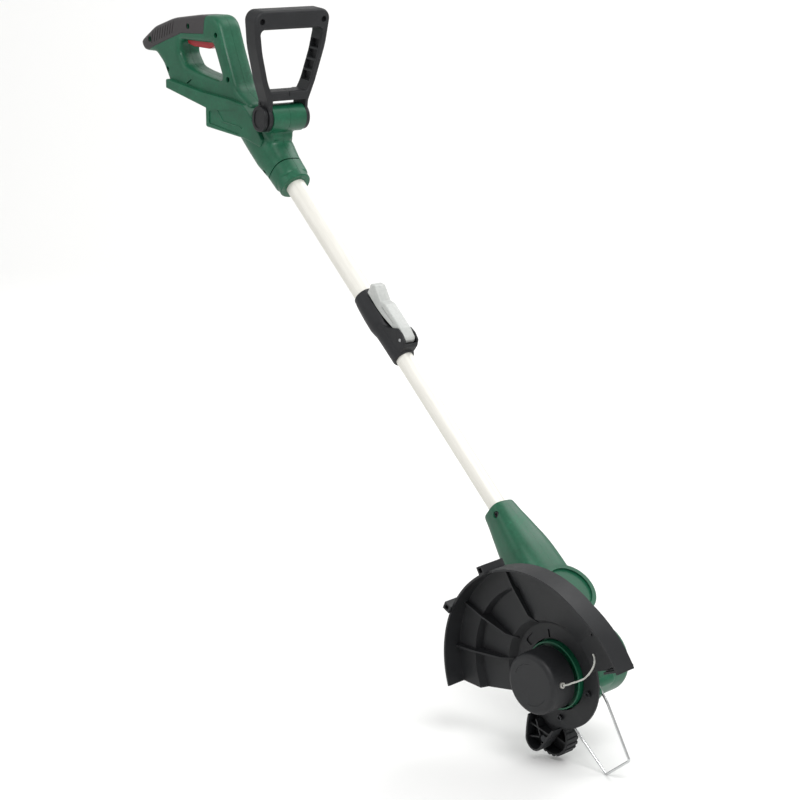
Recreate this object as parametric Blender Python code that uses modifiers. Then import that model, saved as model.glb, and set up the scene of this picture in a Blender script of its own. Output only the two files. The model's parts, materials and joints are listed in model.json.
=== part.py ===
"""Cordless string trimmer, standing in its edging pose, as separate pieces on their real axes.

Sizes are in millimetres and MM turns them into metres. X is forward, Y is left and Z is up.
The origin is in the rear grip, where a hand holds the machine up. Handle pieces are drawn in
handle_frame, tube pieces in shaft_frame (Z up the tubes) and head pieces in spool_frame
(X forward off the head, Y across it, Z out of the spool).
"""
import math

import bmesh
import bpy
from mathutils import Matrix, Vector

MM = 0.001
GAP = 0.35

# Where the tilt pivot is, seen from the rear grip, and how the shaft and head stand.
TILT_PIVOT = (735, 0, -605)
SHAFT_LEAN = 40.2
HEAD_PITCH = 5.7
SPOOL_PLACE = (77.9, 0, 72.3)

# Tubes, measured up the shaft from the tilt pivot.
LOWER_TUBE_R = 11.0
UPPER_TUBE_R = 12.5
TUBE_WALL = 1.2
LOWER_TUBE_ENDS = (96, 620)
UPPER_TUBE_ENDS = (364, 760)
NECK_END = 138

# Rear handle.
GRIP_HALF = 18
BASE_HALF = 25
AUX_PIVOT = (-528, 0, 508)
AUX_LEAN = 3.7
BOSS_R = 18
BOSS_HALF = 21

# Head.
BARREL_R = 40
BARREL_END = -84
CUP_R = 39.4
CAP_R = 35.8
CAP_FACE = 38.3
CAP_RIM = 5.4
CUP_RIM = 2.2
DISC_R = 33.2
DISC_HALF = 28.7
GUARD_R = 133
GUARD_WALL = 2.4
WHEEL_AXLE = (38.5, -71.5)
WHEEL_R = 25

for old in list(bpy.data.objects):
    bpy.data.objects.remove(old, do_unlink=True)
parts = bpy.data.collections.new("string_trimmer")
bpy.context.scene.collection.children.link(parts)
cutters = bpy.data.collections.new("cutters")
bpy.context.scene.collection.children.link(cutters)


def linear(hex_colour):
    """Turn an sRGB hex colour into linear values."""
    values = [int(hex_colour[i:i + 2], 16) / 255 for i in (0, 2, 4)]
    return [v / 12.92 if v <= 0.04045 else ((v + 0.055) / 1.055) ** 2.4 for v in values] + [1]


def frame(name, place=(0, 0, 0), turn=(0, 0, 0), parent=None):
    """An empty that carries pieces. Its turn is in degrees."""
    empty = bpy.data.objects.new(name, None)
    parts.objects.link(empty)
    empty.location = [v * MM for v in place]
    empty.rotation_euler = [math.radians(a) for a in turn]
    empty.parent = parent
    return empty


def evaluated(obj, seam=0.002):
    """The object's mesh with its modifiers applied and its seams welded."""
    graph = bpy.context.evaluated_depsgraph_get()
    mesh = bpy.data.meshes.new_from_object(obj.evaluated_get(graph))
    bm = bmesh.new()
    bm.from_mesh(mesh)
    bmesh.ops.remove_doubles(bm, verts=bm.verts, dist=seam * MM)
    bm.to_mesh(mesh)
    bm.free()
    return mesh


def solid(name, mesh):
    """A new object of a mesh, not yet placed."""
    mesh.name = name
    obj = bpy.data.objects.new(name, mesh)
    cutters.objects.link(obj)
    return obj


def settle(obj):
    """Apply an object's modifiers, or turn a curve into a mesh, and put it at the origin."""
    mesh = evaluated(obj)
    mesh.transform(obj.matrix_world)
    name = obj.name
    bpy.data.objects.remove(obj, do_unlink=True)
    return solid(name, mesh)


def clean(mesh):
    """Draw together the points that cuts leave closer than a hundredth of a millimetre."""
    bm = bmesh.new()
    bm.from_mesh(mesh)
    bmesh.ops.remove_doubles(bm, verts=bm.verts, dist=0.012 * MM)
    bmesh.ops.dissolve_degenerate(bm, edges=bm.edges, dist=0.0001 * MM)
    bmesh.ops.triangulate(bm, faces=[f for f in bm.faces if len(f.verts) > 4])
    bmesh.ops.recalc_face_normals(bm, faces=bm.faces)
    bm.to_mesh(mesh)
    bm.free()


def finish(obj, carrier, hex_colour, rough=0.5, metal=0.0, pivot=(0, 0, 0)):
    """Give a piece its material, its carrier and its origin, in the carrier's millimetres."""
    material = bpy.data.materials.new(obj.name)
    material.use_nodes = True
    shader = material.node_tree.nodes["Principled BSDF"]
    shader.inputs["Base Color"].default_value = linear(hex_colour)
    shader.inputs["Roughness"].default_value = rough
    shader.inputs["Metallic"].default_value = metal
    obj.data.materials.clear()
    obj.data.materials.append(material)
    clean(obj.data)
    spot = Vector(pivot) * MM
    obj.data.transform(Matrix.Translation(-spot))
    obj.location = spot
    obj.parent = carrier
    obj.data.shade_smooth()
    obj.data.set_sharp_from_angle(angle=math.radians(35))
    cutters.objects.unlink(obj)
    parts.objects.link(obj)
    return obj


def combine(obj, tool, operation):
    """Join, cut or intersect an object with a tool, and remove the tool."""
    modifier = obj.modifiers.new("combine", "BOOLEAN")
    modifier.solver = "EXACT"
    modifier.operation = operation
    modifier.object = tool
    bpy.context.view_layer.update()
    mesh = evaluated(obj, 0.0002)
    obj.modifiers.clear()
    obj.data = mesh
    bpy.data.objects.remove(tool, do_unlink=True)
    return obj


def join(obj, *tools):
    for tool in tools:
        combine(obj, tool, "UNION")
    return obj


def cut(obj, *tools):
    for tool in tools:
        combine(obj, tool, "DIFFERENCE")
    return obj


def keep(obj, tool):
    return combine(obj, tool, "INTERSECT")


def copy_of(obj, name):
    return solid(name, obj.data.copy())


def box(name, low, high):
    """A box between two corners."""
    bpy.ops.mesh.primitive_cube_add(size=1)
    cube = bpy.context.object
    cube.name = name
    size = [(b - a) * MM for a, b in zip(low, high)]
    middle = [(a + b) / 2 * MM for a, b in zip(low, high)]
    cube.data.transform(Matrix.Translation(middle) @ Matrix.Diagonal(size + [1]))
    return settle(cube)


def rod(name, start, end, radius, sides=24, end_radius=None):
    """A round bar or cone between two points."""
    start, end = Vector(start) * MM, Vector(end) * MM
    bm = bmesh.new()
    far_radius = radius if end_radius is None else end_radius
    bmesh.ops.create_cone(bm, cap_ends=True, segments=sides, radius1=radius * MM,
                          radius2=far_radius * MM, depth=(end - start).length)
    turn = (end - start).to_track_quat("Z", "Y").to_matrix().to_4x4()
    bmesh.ops.transform(bm, matrix=Matrix.Translation((start + end) / 2) @ turn, verts=bm.verts)
    mesh = bpy.data.meshes.new(name)
    bm.to_mesh(mesh)
    bm.free()
    return solid(name, mesh)


def turned(name, profile, sides=40):
    """A closed profile of (radius, height) points turned about Z. It runs down its outer side."""
    mesh = bpy.data.meshes.new(name)
    points = [(r * MM, 0, z * MM) for r, z in profile]
    count = len(points)
    on_axis = abs(profile[0][0]) < 1e-9 and abs(profile[-1][0]) < 1e-9
    edges = [(i, i + 1) for i in range(count - 1)]
    if not on_axis:
        edges.append((count - 1, 0))
    mesh.from_pydata(points, edges, [])
    obj = solid(name, mesh)
    screw = obj.modifiers.new("turn", "SCREW")
    screw.steps = sides
    screw.render_steps = sides
    screw.use_merge_vertices = True
    screw.merge_threshold = 0.00001
    return settle(obj)


def rounded(points, finest=36):
    """Corners are (a, b) or (a, b, radius). A radius turns a corner into an arc.

    finest is the angle, in degrees, that one side of an arc covers.
    """
    result = []
    for i, corner in enumerate(points):
        here = Vector(corner[:2])
        if len(corner) == 2:
            result.append(here)
            continue
        before = (Vector(points[i - 1][:2]) - here).normalized()
        after = (Vector(points[(i + 1) % len(points)][:2]) - here).normalized()
        half = before.angle(after) / 2
        centre = here + (before + after).normalized() * corner[2] / math.sin(half)
        reach = corner[2] / math.tan(half)
        first, last = here + before * reach - centre, here + after * reach - centre
        steps = max(1, round((180 - math.degrees(2 * half)) / finest))
        for k in range(steps + 1):
            result.append(centre + first.lerp(last, k / steps).normalized() * corner[2])
    return result


def plate(name, outlines, depth, plane="XZ", middle=0, edge=0, shrink=0, edge_steps=1):
    """Flat outlines, the first one the rim and the others holes, made thick across a plane.

    edge is the radius of the rim's rounding, and shrink draws every outline inwards.
    """
    curve = bpy.data.curves.new(name, "CURVE")
    curve.dimensions = "2D"
    curve.fill_mode = "BOTH"
    curve.extrude = (depth / 2 - edge) * MM
    curve.bevel_depth = edge * MM
    curve.bevel_resolution = edge_steps
    curve.offset = -(edge + shrink) * MM
    for outline in outlines:
        spline = curve.splines.new("POLY")
        spline.points.add(len(outline) - 1)
        spline.use_cyclic_u = True
        for point, place in zip(spline.points, outline):
            point.co = (place[0] * MM, place[1] * MM, 0, 1)
    obj = bpy.data.objects.new(name, curve)
    cutters.objects.link(obj)
    bpy.context.view_layer.update()
    obj = settle(obj)
    turns = {"XY": Matrix.Identity(4),
             "XZ": Matrix.Rotation(math.radians(90), 4, "X"),
             "YZ": Matrix(((0, 0, 1, 0), (1, 0, 0, 0), (0, 1, 0, 0), (0, 0, 0, 1)))}
    shift = {"XY": (0, 0, middle), "XZ": (0, middle, 0), "YZ": (middle, 0, 0)}[plane]
    obj.data.transform(Matrix.Translation(Vector(shift) * MM) @ turns[plane])
    return obj


def wire(name, points, radius, sides_step=2, cyclic=False):
    """A round wire along points."""
    curve = bpy.data.curves.new(name, "CURVE")
    curve.dimensions = "3D"
    curve.bevel_depth = radius * MM
    curve.bevel_resolution = sides_step
    curve.use_fill_caps = True
    spline = curve.splines.new("POLY")
    spline.points.add(len(points) - 1)
    spline.use_cyclic_u = cyclic
    for point, place in zip(spline.points, points):
        point.co = (place[0] * MM, place[1] * MM, place[2] * MM, 1)
    obj = bpy.data.objects.new(name, curve)
    cutters.objects.link(obj)
    bpy.context.view_layer.update()
    return settle(obj)


def moved(obj, matrix):
    obj.data.transform(matrix)
    return obj


def shift(x, y, z):
    return Matrix.Translation(Vector((x, y, z)) * MM)


def turn(degrees, axis):
    return Matrix.Rotation(math.radians(degrees), 4, axis)


handle_frame = frame("handle_frame", TILT_PIVOT)
shaft_frame = frame("shaft_frame", TILT_PIVOT, (0, SHAFT_LEAN - 90, 0))
tilt_axis = frame("tilt_axis", (0, 0, 0), (90, 90, 0), shaft_frame)
head_frame = frame("head_frame", (0, 0, 0), (0, HEAD_PITCH, 0), tilt_axis)
spool_frame = frame("spool_frame", SPOOL_PLACE, (0, 0, 0), head_frame)
aux_frame = frame("aux_frame", AUX_PIVOT, (0, AUX_LEAN, 0), handle_frame)
HANDLE_FROM_SHAFT = turn(SHAFT_LEAN - 90, "Y")

GREEN = "1f5a41"
BLACK = "26282a"
SOFT = "2b2a2c"
RED = "a3262b"
ALUMINIUM = "d8d6cf"
STEEL = "b9bbbc"

# Outlines of the rear handle, seen from the side, as (forward, up, corner radius).
GRIP_OUTLINE = [(-830, 586, 5), (-794, 608, 30), (-750, 621, 60), (-690, 628, 60), (-650, 628, 18),
                (-632, 585, 40), (-612, 536, 20), (-582, 516, 6), (-600, 503), (-700, 513),
                (-754, 526), (-762, 541, 4), (-774, 560, 20), (-792, 574, 12), (-820, 574, 6)]
GRIP_HOLE = [(-733, 593, 5), (-735, 577, 8), (-722, 560, 12), (-702, 555, 10), (-672, 550),
             (-634, 545, 5), (-645, 568, 30), (-657, 593, 5)]
COVER_AREA = [(-850, 570), (-818, 572), (-788, 583), (-728, 602), (-676, 604), (-670, 640), (-850, 640)]
BASE_OUTLINE = [(-757, 541, 2), (-757, 529, 1.5), (-664, 510), (-664, 486, 3), (-582, 476, 3),
                (-560, 462, 4), (-530, 470, 6), (-520, 506, 4), (-548, 521, 6), (-612, 525), (-676, 530)]
BASE_PANEL = [(-656, 507, 3), (-656, 491, 2), (-590, 482, 3), (-572, 500, 4), (-592, 514, 3)]
BASE_ROOM = [(-654.5, 506), (-654.5, 491.3), (-592, 484.7), (-584, 490), (-604, 510)]
BOSS_WEB = [(-556, 520, 6), (-516, 496, 4), (-512, 474), (-556, 470)]
SCREW_PLACES = [(-648, 604), (-622, 549), (-762, 553), (-804, 590), (-712, 612), (-541, 438)]
NECK_SCREW_FACE = 17
PIN_PLACE = (-724, 598)
BASE_SLOPE = (510 - 529) / (757 - 664)


def under(x):
    """Height of the base's underside, where the battery slides in."""
    return 529 + BASE_SLOPE * (x + 757)


def channel(name, depth, low, high):
    """A slot along the base's underside, between two heights above it."""
    ends = (-775, -667)
    points = [(x, under(x) + low) for x in ends] + [(x, under(x) + high) for x in reversed(ends)]
    return plate(name, [points], depth)


def make_handle_shells():
    grip = plate("grip", [rounded(GRIP_OUTLINE), rounded(GRIP_HOLE)], 2 * GRIP_HALF, edge=5)
    base = plate("base", [rounded(BASE_OUTLINE)], 2 * BASE_HALF, edge=2, edge_steps=0)
    neck = turned("neck", [(0, 776), (23.4, 776), (24.3, 740), (24.3, 712), (21.5, 687), (19.6, 685),
                           (19.6, 682), (20.8, 680), (20.8, 658), (19.6, 656), (0, 656)], 28)
    moved(neck, HANDLE_FROM_SHAFT)
    x, _, z = AUX_PIVOT
    boss = rod("boss", (x, -BOSS_HALF, z), (x, BOSS_HALF, z), BOSS_R, 28)
    web = plate("web", [rounded(BOSS_WEB)], 2 * BOSS_HALF - 6, edge=3, edge_steps=0)
    body = join(grip, base, neck, web, boss)
    core = plate("core", [rounded(GRIP_OUTLINE), rounded(GRIP_HOLE)], 2 * GRIP_HALF - 4, edge=3, shrink=2.1,
                 edge_steps=0)
    recess = cut(plate("recess", [COVER_AREA], 80), core)
    cut(body, recess)
    room = plate("room", [rounded(GRIP_OUTLINE, 60), rounded(GRIP_HOLE, 60)], 2 * GRIP_HALF - 9, shrink=6)
    cut(room, box("front", (-640, -40, 400), (-400, 40, 541)))
    rear, bend = under(-775) + 11.5, 526
    cut(room, plate("floor", [[(-900, 400), (-400, 400), (-400, bend), (-684, bend), (-775, rear),
                               (-900, rear)]], 80))
    cut(body, room, plate("base_room", [BASE_ROOM], 2 * BASE_HALF - 7))
    for x, z in SCREW_PLACES[:-1]:
        join(body, rod("tower", (x, -GRIP_HALF + 2.3, z), (x, GRIP_HALF - 2.3, z), 4.5, 10))
    cut(body, channel("channel", 38, -6, 9), channel("grooves", 45, 3.5, 6.5))
    for side in (-1, 1):
        cut(body, plate("panel", [rounded(BASE_PANEL)], 4, middle=side * (BASE_HALF + 0.8)))
    cut(body, moved(rod("bore", (0, 0, 640), (0, 0, 760.5), UPPER_TUBE_R + GAP, 32), HANDLE_FROM_SHAFT))
    x, _, z = AUX_PIVOT
    for side in (-1, 1):
        cut(body, rod("leg_room", (x, side * (BOSS_HALF + 0.2), z), (x, side * 60, z), BOSS_R + 1, 28))
    cut(body, rod("aux_bore", (x, -60, z), (x, 60, z), 3.4, 16))
    cut(body, box("trigger_slot", (-731, -7.6, 584), (-660, 7.6, 601)))
    x, z = PIN_PLACE
    for side in (-1, 1):
        join(body, rod("pin_boss", (x, side * 8, z), (x, side * 15.6, z), 4, 12))
    cut(body, rod("pin_bore", (x, -11.6, z), (x, 11.6, z), 2.25, 12))
    cut(body, rod("lock_hole", (-668, 5, 606), (-668, 30, 606), 5.4, 16))
    cut(body, box("terminal_slot", (-670, -15, 487.6), (-650, 15, 503.4)))
    for x, z in SCREW_PLACES:
        depth = NECK_SCREW_FACE if z < 500 else GRIP_HALF
        cut(body, rod("sink", (x, -40, z), (x, -depth + 7, z), 3.6, 12),
            rod("thread", (x, -depth + 6, z), (x, 9.5, z), 1.9, 8))
    left = cut(copy_of(body, "handle_shell_left"), box("half", (-900, -50, 380), (-400, 0.15, 680)))
    right = cut(body, box("half", (-900, -0.15, 380), (-400, 50, 680)))
    right.name = "handle_shell_right"
    finish(left, handle_frame, GREEN, 0.45)
    finish(right, handle_frame, GREEN, 0.45)


def make_grip_cover():
    cover = keep(plate("grip_cover", [rounded(GRIP_OUTLINE), rounded(GRIP_HOLE)], 2 * GRIP_HALF, edge=5),
                 plate("area", [COVER_AREA], 80, shrink=GAP))
    core = plate("core", [rounded(GRIP_OUTLINE), rounded(GRIP_HOLE)], 2 * GRIP_HALF - 3.4, edge=3, shrink=1.7,
                 edge_steps=0)
    cut(cover, core)
    cover = settle(cover)
    for x, z in SCREW_PLACES[:-1]:
        if z > 585 and x < -672:
            cut(cover, rod("sink", (x, -40, z), (x, -10, z), 4.0, 14))
    cover.name = "grip_cover"
    finish(cover, handle_frame, SOFT, 0.85)


def screw(name, head, tip, radius, carrier, pivot=(0, 0, 0)):
    """A pan head screw from its head's outer face to its tip."""
    head, tip = Vector(head), Vector(tip)
    way = (tip - head).normalized()
    seat = head + way * radius * 0.9
    body = join(rod(name, head, seat, radius, 12), rod("shank", seat - way * 0.2, tip, radius * 0.5, 8))
    side = way.orthogonal().normalized()
    other = way.cross(side)
    for a, b in ((side, other), (other, side)):
        corners = [head + a * i * radius * 0.6 + b * j * radius * 0.14 for i in (-1, 1) for j in (-1, 1)]
        depth = [c + way * k for c in corners for k in (-1, radius * 0.4)]
        low = [min(p[i] for p in depth) for i in range(3)]
        high = [max(p[i] for p in depth) for i in range(3)]
        cut(body, box("cross", low, high))
    body.name = name
    return finish(body, carrier, STEEL, 0.35, 1.0, pivot)


def make_handle_screws():
    for number, (x, z) in enumerate(SCREW_PLACES, 1):
        depth = NECK_SCREW_FACE if z < 500 else GRIP_HALF
        screw(f"handle_screw_{number}", (x, -depth + 4.2, z), (x, 9, z), 3.1, handle_frame)


def make_trigger():
    outline = [(-729.5, 602, 2), (-729.5, 588, 3), (-716, 585, 8), (-680, 584, 8), (-664, 590, 6), (-662, 604, 3)]
    trigger = plate("trigger", [rounded(outline)], 14, edge=1.5)
    x, z = PIN_PLACE
    cut(trigger, rod("pin_hole", (x, -20, z), (x, 20, z), 2.3, 16))
    trigger.name = "trigger"
    finish(trigger, handle_frame, RED, 0.4, pivot=(x, 0, z))
    pin = rod("trigger_pin", (x, -11.2, z), (x, 11.2, z), 1.9, 16)
    finish(pin, handle_frame, STEEL, 0.3, 1.0)


def make_lock_button():
    button = rod("lock_button", (-668, 11, 606), (-668, 20.5, 606), 5.0, 16)
    finish(button, handle_frame, BLACK, 0.5, pivot=(-668, 11, 606))


def make_electrics():
    switch = join(box("power_switch", (-706, -8, 610.5), (-682, 8, 618)),
                  box("lug", (-698, -3, 617), (-694, 3, 620)))
    switch.name = "power_switch"
    finish(switch, handle_frame, "202225", 0.5)
    block = box("battery_terminals", (-667.6, -14.6, 488.4), (-656, 14.6, 502.6))
    for y in (-9, 0, 9):
        cut(block, box("blade_gap", (-669, y - 1, 490), (-662, y + 1, 501)))
    block.name = "battery_terminals"
    finish(block, handle_frame, "1b1c1e", 0.5)


def make_handle():
    make_handle_shells()
    make_grip_cover()
    make_handle_screws()
    make_trigger()
    make_lock_button()
    make_electrics()


make_handle()


# The front handle, seen from the front as (across, up its own length, corner radius).
AUX_HALF = 64
AUX_TOP = 137
AUX_DEPTH = 26
EYE_IN, EYE_OUT = 21.5, 31
AUX_RIM = [(EYE_OUT, -6, 5), (EYE_OUT, 21, 6), (47, 42, 50), (61, 95, 40), (AUX_HALF, AUX_TOP, 12)]
AUX_GAP = [(EYE_OUT - 8, 29, 3), (38, 44, 50), (50, 92, 40), (51.5, 109, 6)]


def both_sides(points):
    """An outline's right half, followed by its mirror image."""
    return points + [(-p[0],) + tuple(p[1:]) for p in reversed(points)]


def make_aux_bar():
    rim = rounded(both_sides(AUX_RIM))
    bar = plate("aux_handle", [rim, rounded(both_sides(AUX_GAP))], AUX_DEPTH, "YZ", edge=4)
    foot = plate("foot", [rounded(both_sides([(EYE_IN, -30), (EYE_IN, 19.5, 1)]))], 40, "YZ")
    cut(bar, foot)
    cut(bar, box("split", (-20, -0.4, 26), (20, 0.4, 33)), box("underside", (-20, -20, 12), (-7, 20, 40)))
    for side in (-1, 1):
        join(bar, rod("eye", (0, side * EYE_IN, 0), (0, side * EYE_OUT, 0), 16.5, 28))
        for k in range(4):
            low, high = 46 + 13.5 * k, 57 + 13.5 * k
            reach = 39.5 + 3.2 * k
            pocket = box("pocket", (-8.5, side * reach - 6, low), (8.5, side * reach + 6, high))
            cut(bar, pocket)
    cut(bar, rod("bolt_hole", (0, -60, 0), (0, 60, 0), 3.4, 16))
    for side in (-1, 1):
        cut(bar, rod("sink", (8, side * 50, 122), (40, side * 50, 122), 3.8, 12))
        cut(bar, rod("sink_hole", (-8, side * 50, 122), (10, side * 50, 122), 1.9, 8))
    bar.name = "aux_handle"
    finish(bar, aux_frame, BLACK, 0.5)


def make_aux_fittings():
    for number, side in enumerate((-1, 1), 1):
        screw(f"aux_screw_{number}", (11.2, side * 50, 122), (-6, side * 50, 122), 3.1, aux_frame)
    bolt = join(rod("aux_bolt", (0, -33, 0), (0, 36, 0), 3.0, 16), rod("head", (0, 31.4, 0), (0, 36.5, 0), 6, 6))
    finish(bolt, aux_frame, STEEL, 0.3, 1.0)
    grip = plate("aux_knob", [rounded([(-11, -17, 10), (11, -17, 10), (11, 17, 10), (-11, 17, 10)])], 5.5,
                 middle=-34.2, edge=1.2)
    face = plate("face", [rounded([(-7, -12, 7), (7, -12, 7), (7, 12, 7), (-7, 12, 7)])], 2, middle=-37)
    cut(grip, face, rod("nut", (0, -34.5, 0), (0, -20, 0), 3.3, 16))
    finish(grip, aux_frame, BLACK, 0.45)


# The telescope clamp, as (out of the shaft towards the lever, up the shaft, corner radius).
CLAMP_ENDS = (360, 480)
CLAMP_R = 19
LEVER_PIN = (22, 381)
CLAMP_CHEEK = [(-6, 361.3), (27, 361.3, 3), (30.5, 374, 6), (31, 388, 8), (19, 404, 12), (12, 437), (-6, 437)]
LEVER_OUTLINE = [(13.8, 474, 2), (21, 474, 4), (38, 456, 5), (34, 430, 20), (36, 400, 20), (33, 383, 7),
                 (27, 375.2, 5), (16.6, 375.2, 5.5), (15.8, 387, 5), (22, 400, 14), (20, 434, 12)]


def make_clamp():
    low, high = CLAMP_ENDS
    body = turned("clamp_collar", [(0, high), (17.4, high), (19.6, high - 8), (19.6, 432), (CLAMP_R, 424),
                                   (CLAMP_R, low + 3), (17, low), (0, low)], 32)
    join(body, plate("cheek", [rounded(CLAMP_CHEEK)], 34, edge=1.2))
    cut(body, plate("lever_room", [[(13.4, 363.6), (60, 363.6), (60, 500), (13.4, 500)]], 22.6))
    cut(body, rod("bore", (0, 0, 363.2), (0, 0, 500), UPPER_TUBE_R + GAP, 32))
    cut(body, rod("throat", (0, 0, 340), (0, 0, 370), LOWER_TUBE_R + GAP, 32))
    cut(body, rod("pin_hole", (LEVER_PIN[0], -40, LEVER_PIN[1]), (LEVER_PIN[0], 40, LEVER_PIN[1]), 2.35, 16))
    cut(body, box("pad_window", (8, -8.4, 373.6), (14, 8.4, 394.4)))
    body.name = "clamp_collar"
    finish(body, shaft_frame, BLACK, 0.5)
    pin = rod("lever_pin", (LEVER_PIN[0], -17.2, LEVER_PIN[1]), (LEVER_PIN[0], 17.2, LEVER_PIN[1]), 2.0, 16)
    finish(pin, shaft_frame, STEEL, 0.25, 1.0)
    lever = plate("cam_lever", [rounded(LEVER_OUTLINE)], 22, edge=1.8)
    cut(lever, rod("pin_hole", (LEVER_PIN[0], -30, LEVER_PIN[1]), (LEVER_PIN[0], 30, LEVER_PIN[1]), 2.35, 16))
    for side in (-1, 1):
        cut(lever, plate("flute", [rounded([(24.3, 427, 2), (30.5, 427, 2), (31.5, 399, 2), (27.4, 399, 2)])],
                         3.2, middle=side * 11))
    finish(lever, shaft_frame, "b7b9b6", 0.4, 0.2, (LEVER_PIN[0], 0, LEVER_PIN[1]))
    pad = cut(box("clamp_pad", (9, -8, 374), (15.1, 8, 394)),
              rod("seat", (0, 0, 360), (0, 0, 400), UPPER_TUBE_R + GAP, 32))
    pad.name = "clamp_pad"
    finish(pad, shaft_frame, "3a3c3e", 0.6)


def tube(name, radius, ends, hex_colour):
    """A round tube with an open bore."""
    low, high = ends
    inner = radius - TUBE_WALL
    body = turned(name, [(inner, high), (radius, high), (radius, low), (inner, low)], 32)
    return finish(body, shaft_frame, hex_colour, 0.35, 0.9)


def make_tubes():
    tube("upper_tube", UPPER_TUBE_R, UPPER_TUBE_ENDS, ALUMINIUM)
    tube("lower_tube", LOWER_TUBE_R - 0.05, LOWER_TUBE_ENDS, ALUMINIUM)
    low = LOWER_TUBE_ENDS[1] + 0.4
    guide = turned("tube_guide", [(4, low + 14), (9, low + 14), (LOWER_TUBE_R, low + 11), (LOWER_TUBE_R, low + 3),
                                  (10.4, low), (4, low)], 28)
    finish(guide, shaft_frame, BLACK, 0.5)


make_aux_bar()
make_aux_fittings()
make_clamp()
make_tubes()


def loft(name, rings):
    """A closed body through rings of points, the same number in each, with flat ends."""
    bm = bmesh.new()
    rows = [[bm.verts.new(Vector(p) * MM) for p in ring] for ring in rings]
    for low, high in zip(rows, rows[1:]):
        for i in range(len(low)):
            j = (i + 1) % len(low)
            bm.faces.new((low[i], low[j], high[j], high[i]))
    bm.faces.new(list(reversed(rows[0])))
    bm.faces.new(rows[-1])
    bmesh.ops.recalc_face_normals(bm, faces=bm.faces)
    mesh = bpy.data.meshes.new(name)
    bm.to_mesh(mesh)
    bm.free()
    return solid(name, mesh)


def squircle(half_x, half_y, z, count=24, power=3.0):
    """A rounded square ring at a height."""
    ring = []
    for k in range(count):
        a = math.tau * k / count
        c, s = math.cos(a), math.sin(a)
        ring.append((half_x * math.copysign(abs(c) ** (2 / power), c),
                     half_y * math.copysign(abs(s) ** (2 / power), s), z))
    return ring


# Neck sections: height up the shaft, half width across it, half thickness to the front.
NECK_SECTIONS = [(NECK_END, 16, 15.5), (NECK_END - 3, 18.2, 17), (122, 20.5, 18.5), (100, 25, 21.5),
                 (70, 30.5, 25), (35, 32, 26.5), (5, 32, 26.5)]
TONGUE_HALF = 13
TONGUE_R = 30


def make_neck():
    body = loft("neck", [squircle(thick, wide, z) for z, wide, thick in NECK_SECTIONS])
    disc = rod("disc", (-DISC_HALF, 0, 0), (DISC_HALF, 0, 0), DISC_R, 44)
    join(body, disc)
    for side in (-1, 1):
        cut(body, rod("recess", (side * (DISC_HALF - 2.6), 0, 0), (side * 40, 0, 0), DISC_R - 6.5, 36))
    slot = TONGUE_HALF + GAP
    cut(body, rod("knuckle_room", (-slot, 0, 0), (slot, 0, 0), TONGUE_R + 1, 36))
    cut(body, box("arm_room", (-slot, -50, -50), (slot, 50, -6)))
    cut(body, rod("bolt_bore", (-60, 0, 0), (60, 0, 0), 4.35, 16))
    cut(body, rod("tube_bore", (0, 0, 95), (0, 0, 200), LOWER_TUBE_R + GAP, 32))
    cut(body, rod("button_hole", (-60, 0, 62), (-16, 0, 62), 8.4, 20))
    for k in range(4):
        cut(body, rod("notch", (30, 34, 74 + 12 * k), (14, 34, 74 + 12 * k), 3.6, 10))
    place = (9.7, 125)
    cut(body, rod("sink", (place[0], -40, place[1]), (place[0], -14.6, place[1]), 4.0, 12),
        rod("thread", (place[0], -16, place[1]), (place[0], -9, place[1]), 2.0, 8))
    left = cut(copy_of(body, "neck_shell_left"), box("half", (-60, -60, -60), (60, 0.15, 170)))
    right = cut(body, box("half", (-60, -0.15, -60), (60, 60, 170)))
    right.name = "neck_shell_right"
    finish(left, shaft_frame, GREEN, 0.45)
    finish(right, shaft_frame, GREEN, 0.45)
    screw("neck_screw", (place[0], -18.2, place[1]), (place[0], -11.5, place[1]), 3.4, shaft_frame)
    bolt = rod("tilt_bolt", (-26, 0, 0), (26, 0, 0), 4.0, 20)
    finish(bolt, shaft_frame, STEEL, 0.3, 1.0)
    button = rod("tilt_button", (-30.5, 0, 62), (-20.5, 0, 62), 8.0, 24)
    finish(button, shaft_frame, BLACK, 0.5, pivot=(-20.5, 0, 62))


make_neck()


# The head. Angles about the spool run from its user side (-X) towards +Y.
def around(radius, angle, height):
    """A point at a radius and an angle about the spool axis."""
    a = math.radians(angle)
    return (-radius * math.cos(a), radius * math.sin(a), height)


def facing(obj, angle):
    """Turn a piece drawn along +X until it points at an angle about the spool."""
    return moved(obj, turn(180 - angle, "Z"))


GUARD_SCREWS = [(50, -136), (50, 152)]
WIRE_PLANE = -20
WIRE_TURN = -12.7
HINGE_REACH = 20


def wire_point(along, across, height=WIRE_PLANE):
    """A point of the wire guard: along its own axis, across it, and out along the spool axis."""
    a = math.radians(WIRE_TURN)
    return (along * math.cos(a) - across * math.sin(a), along * math.sin(a) + across * math.cos(a), height)


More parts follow.
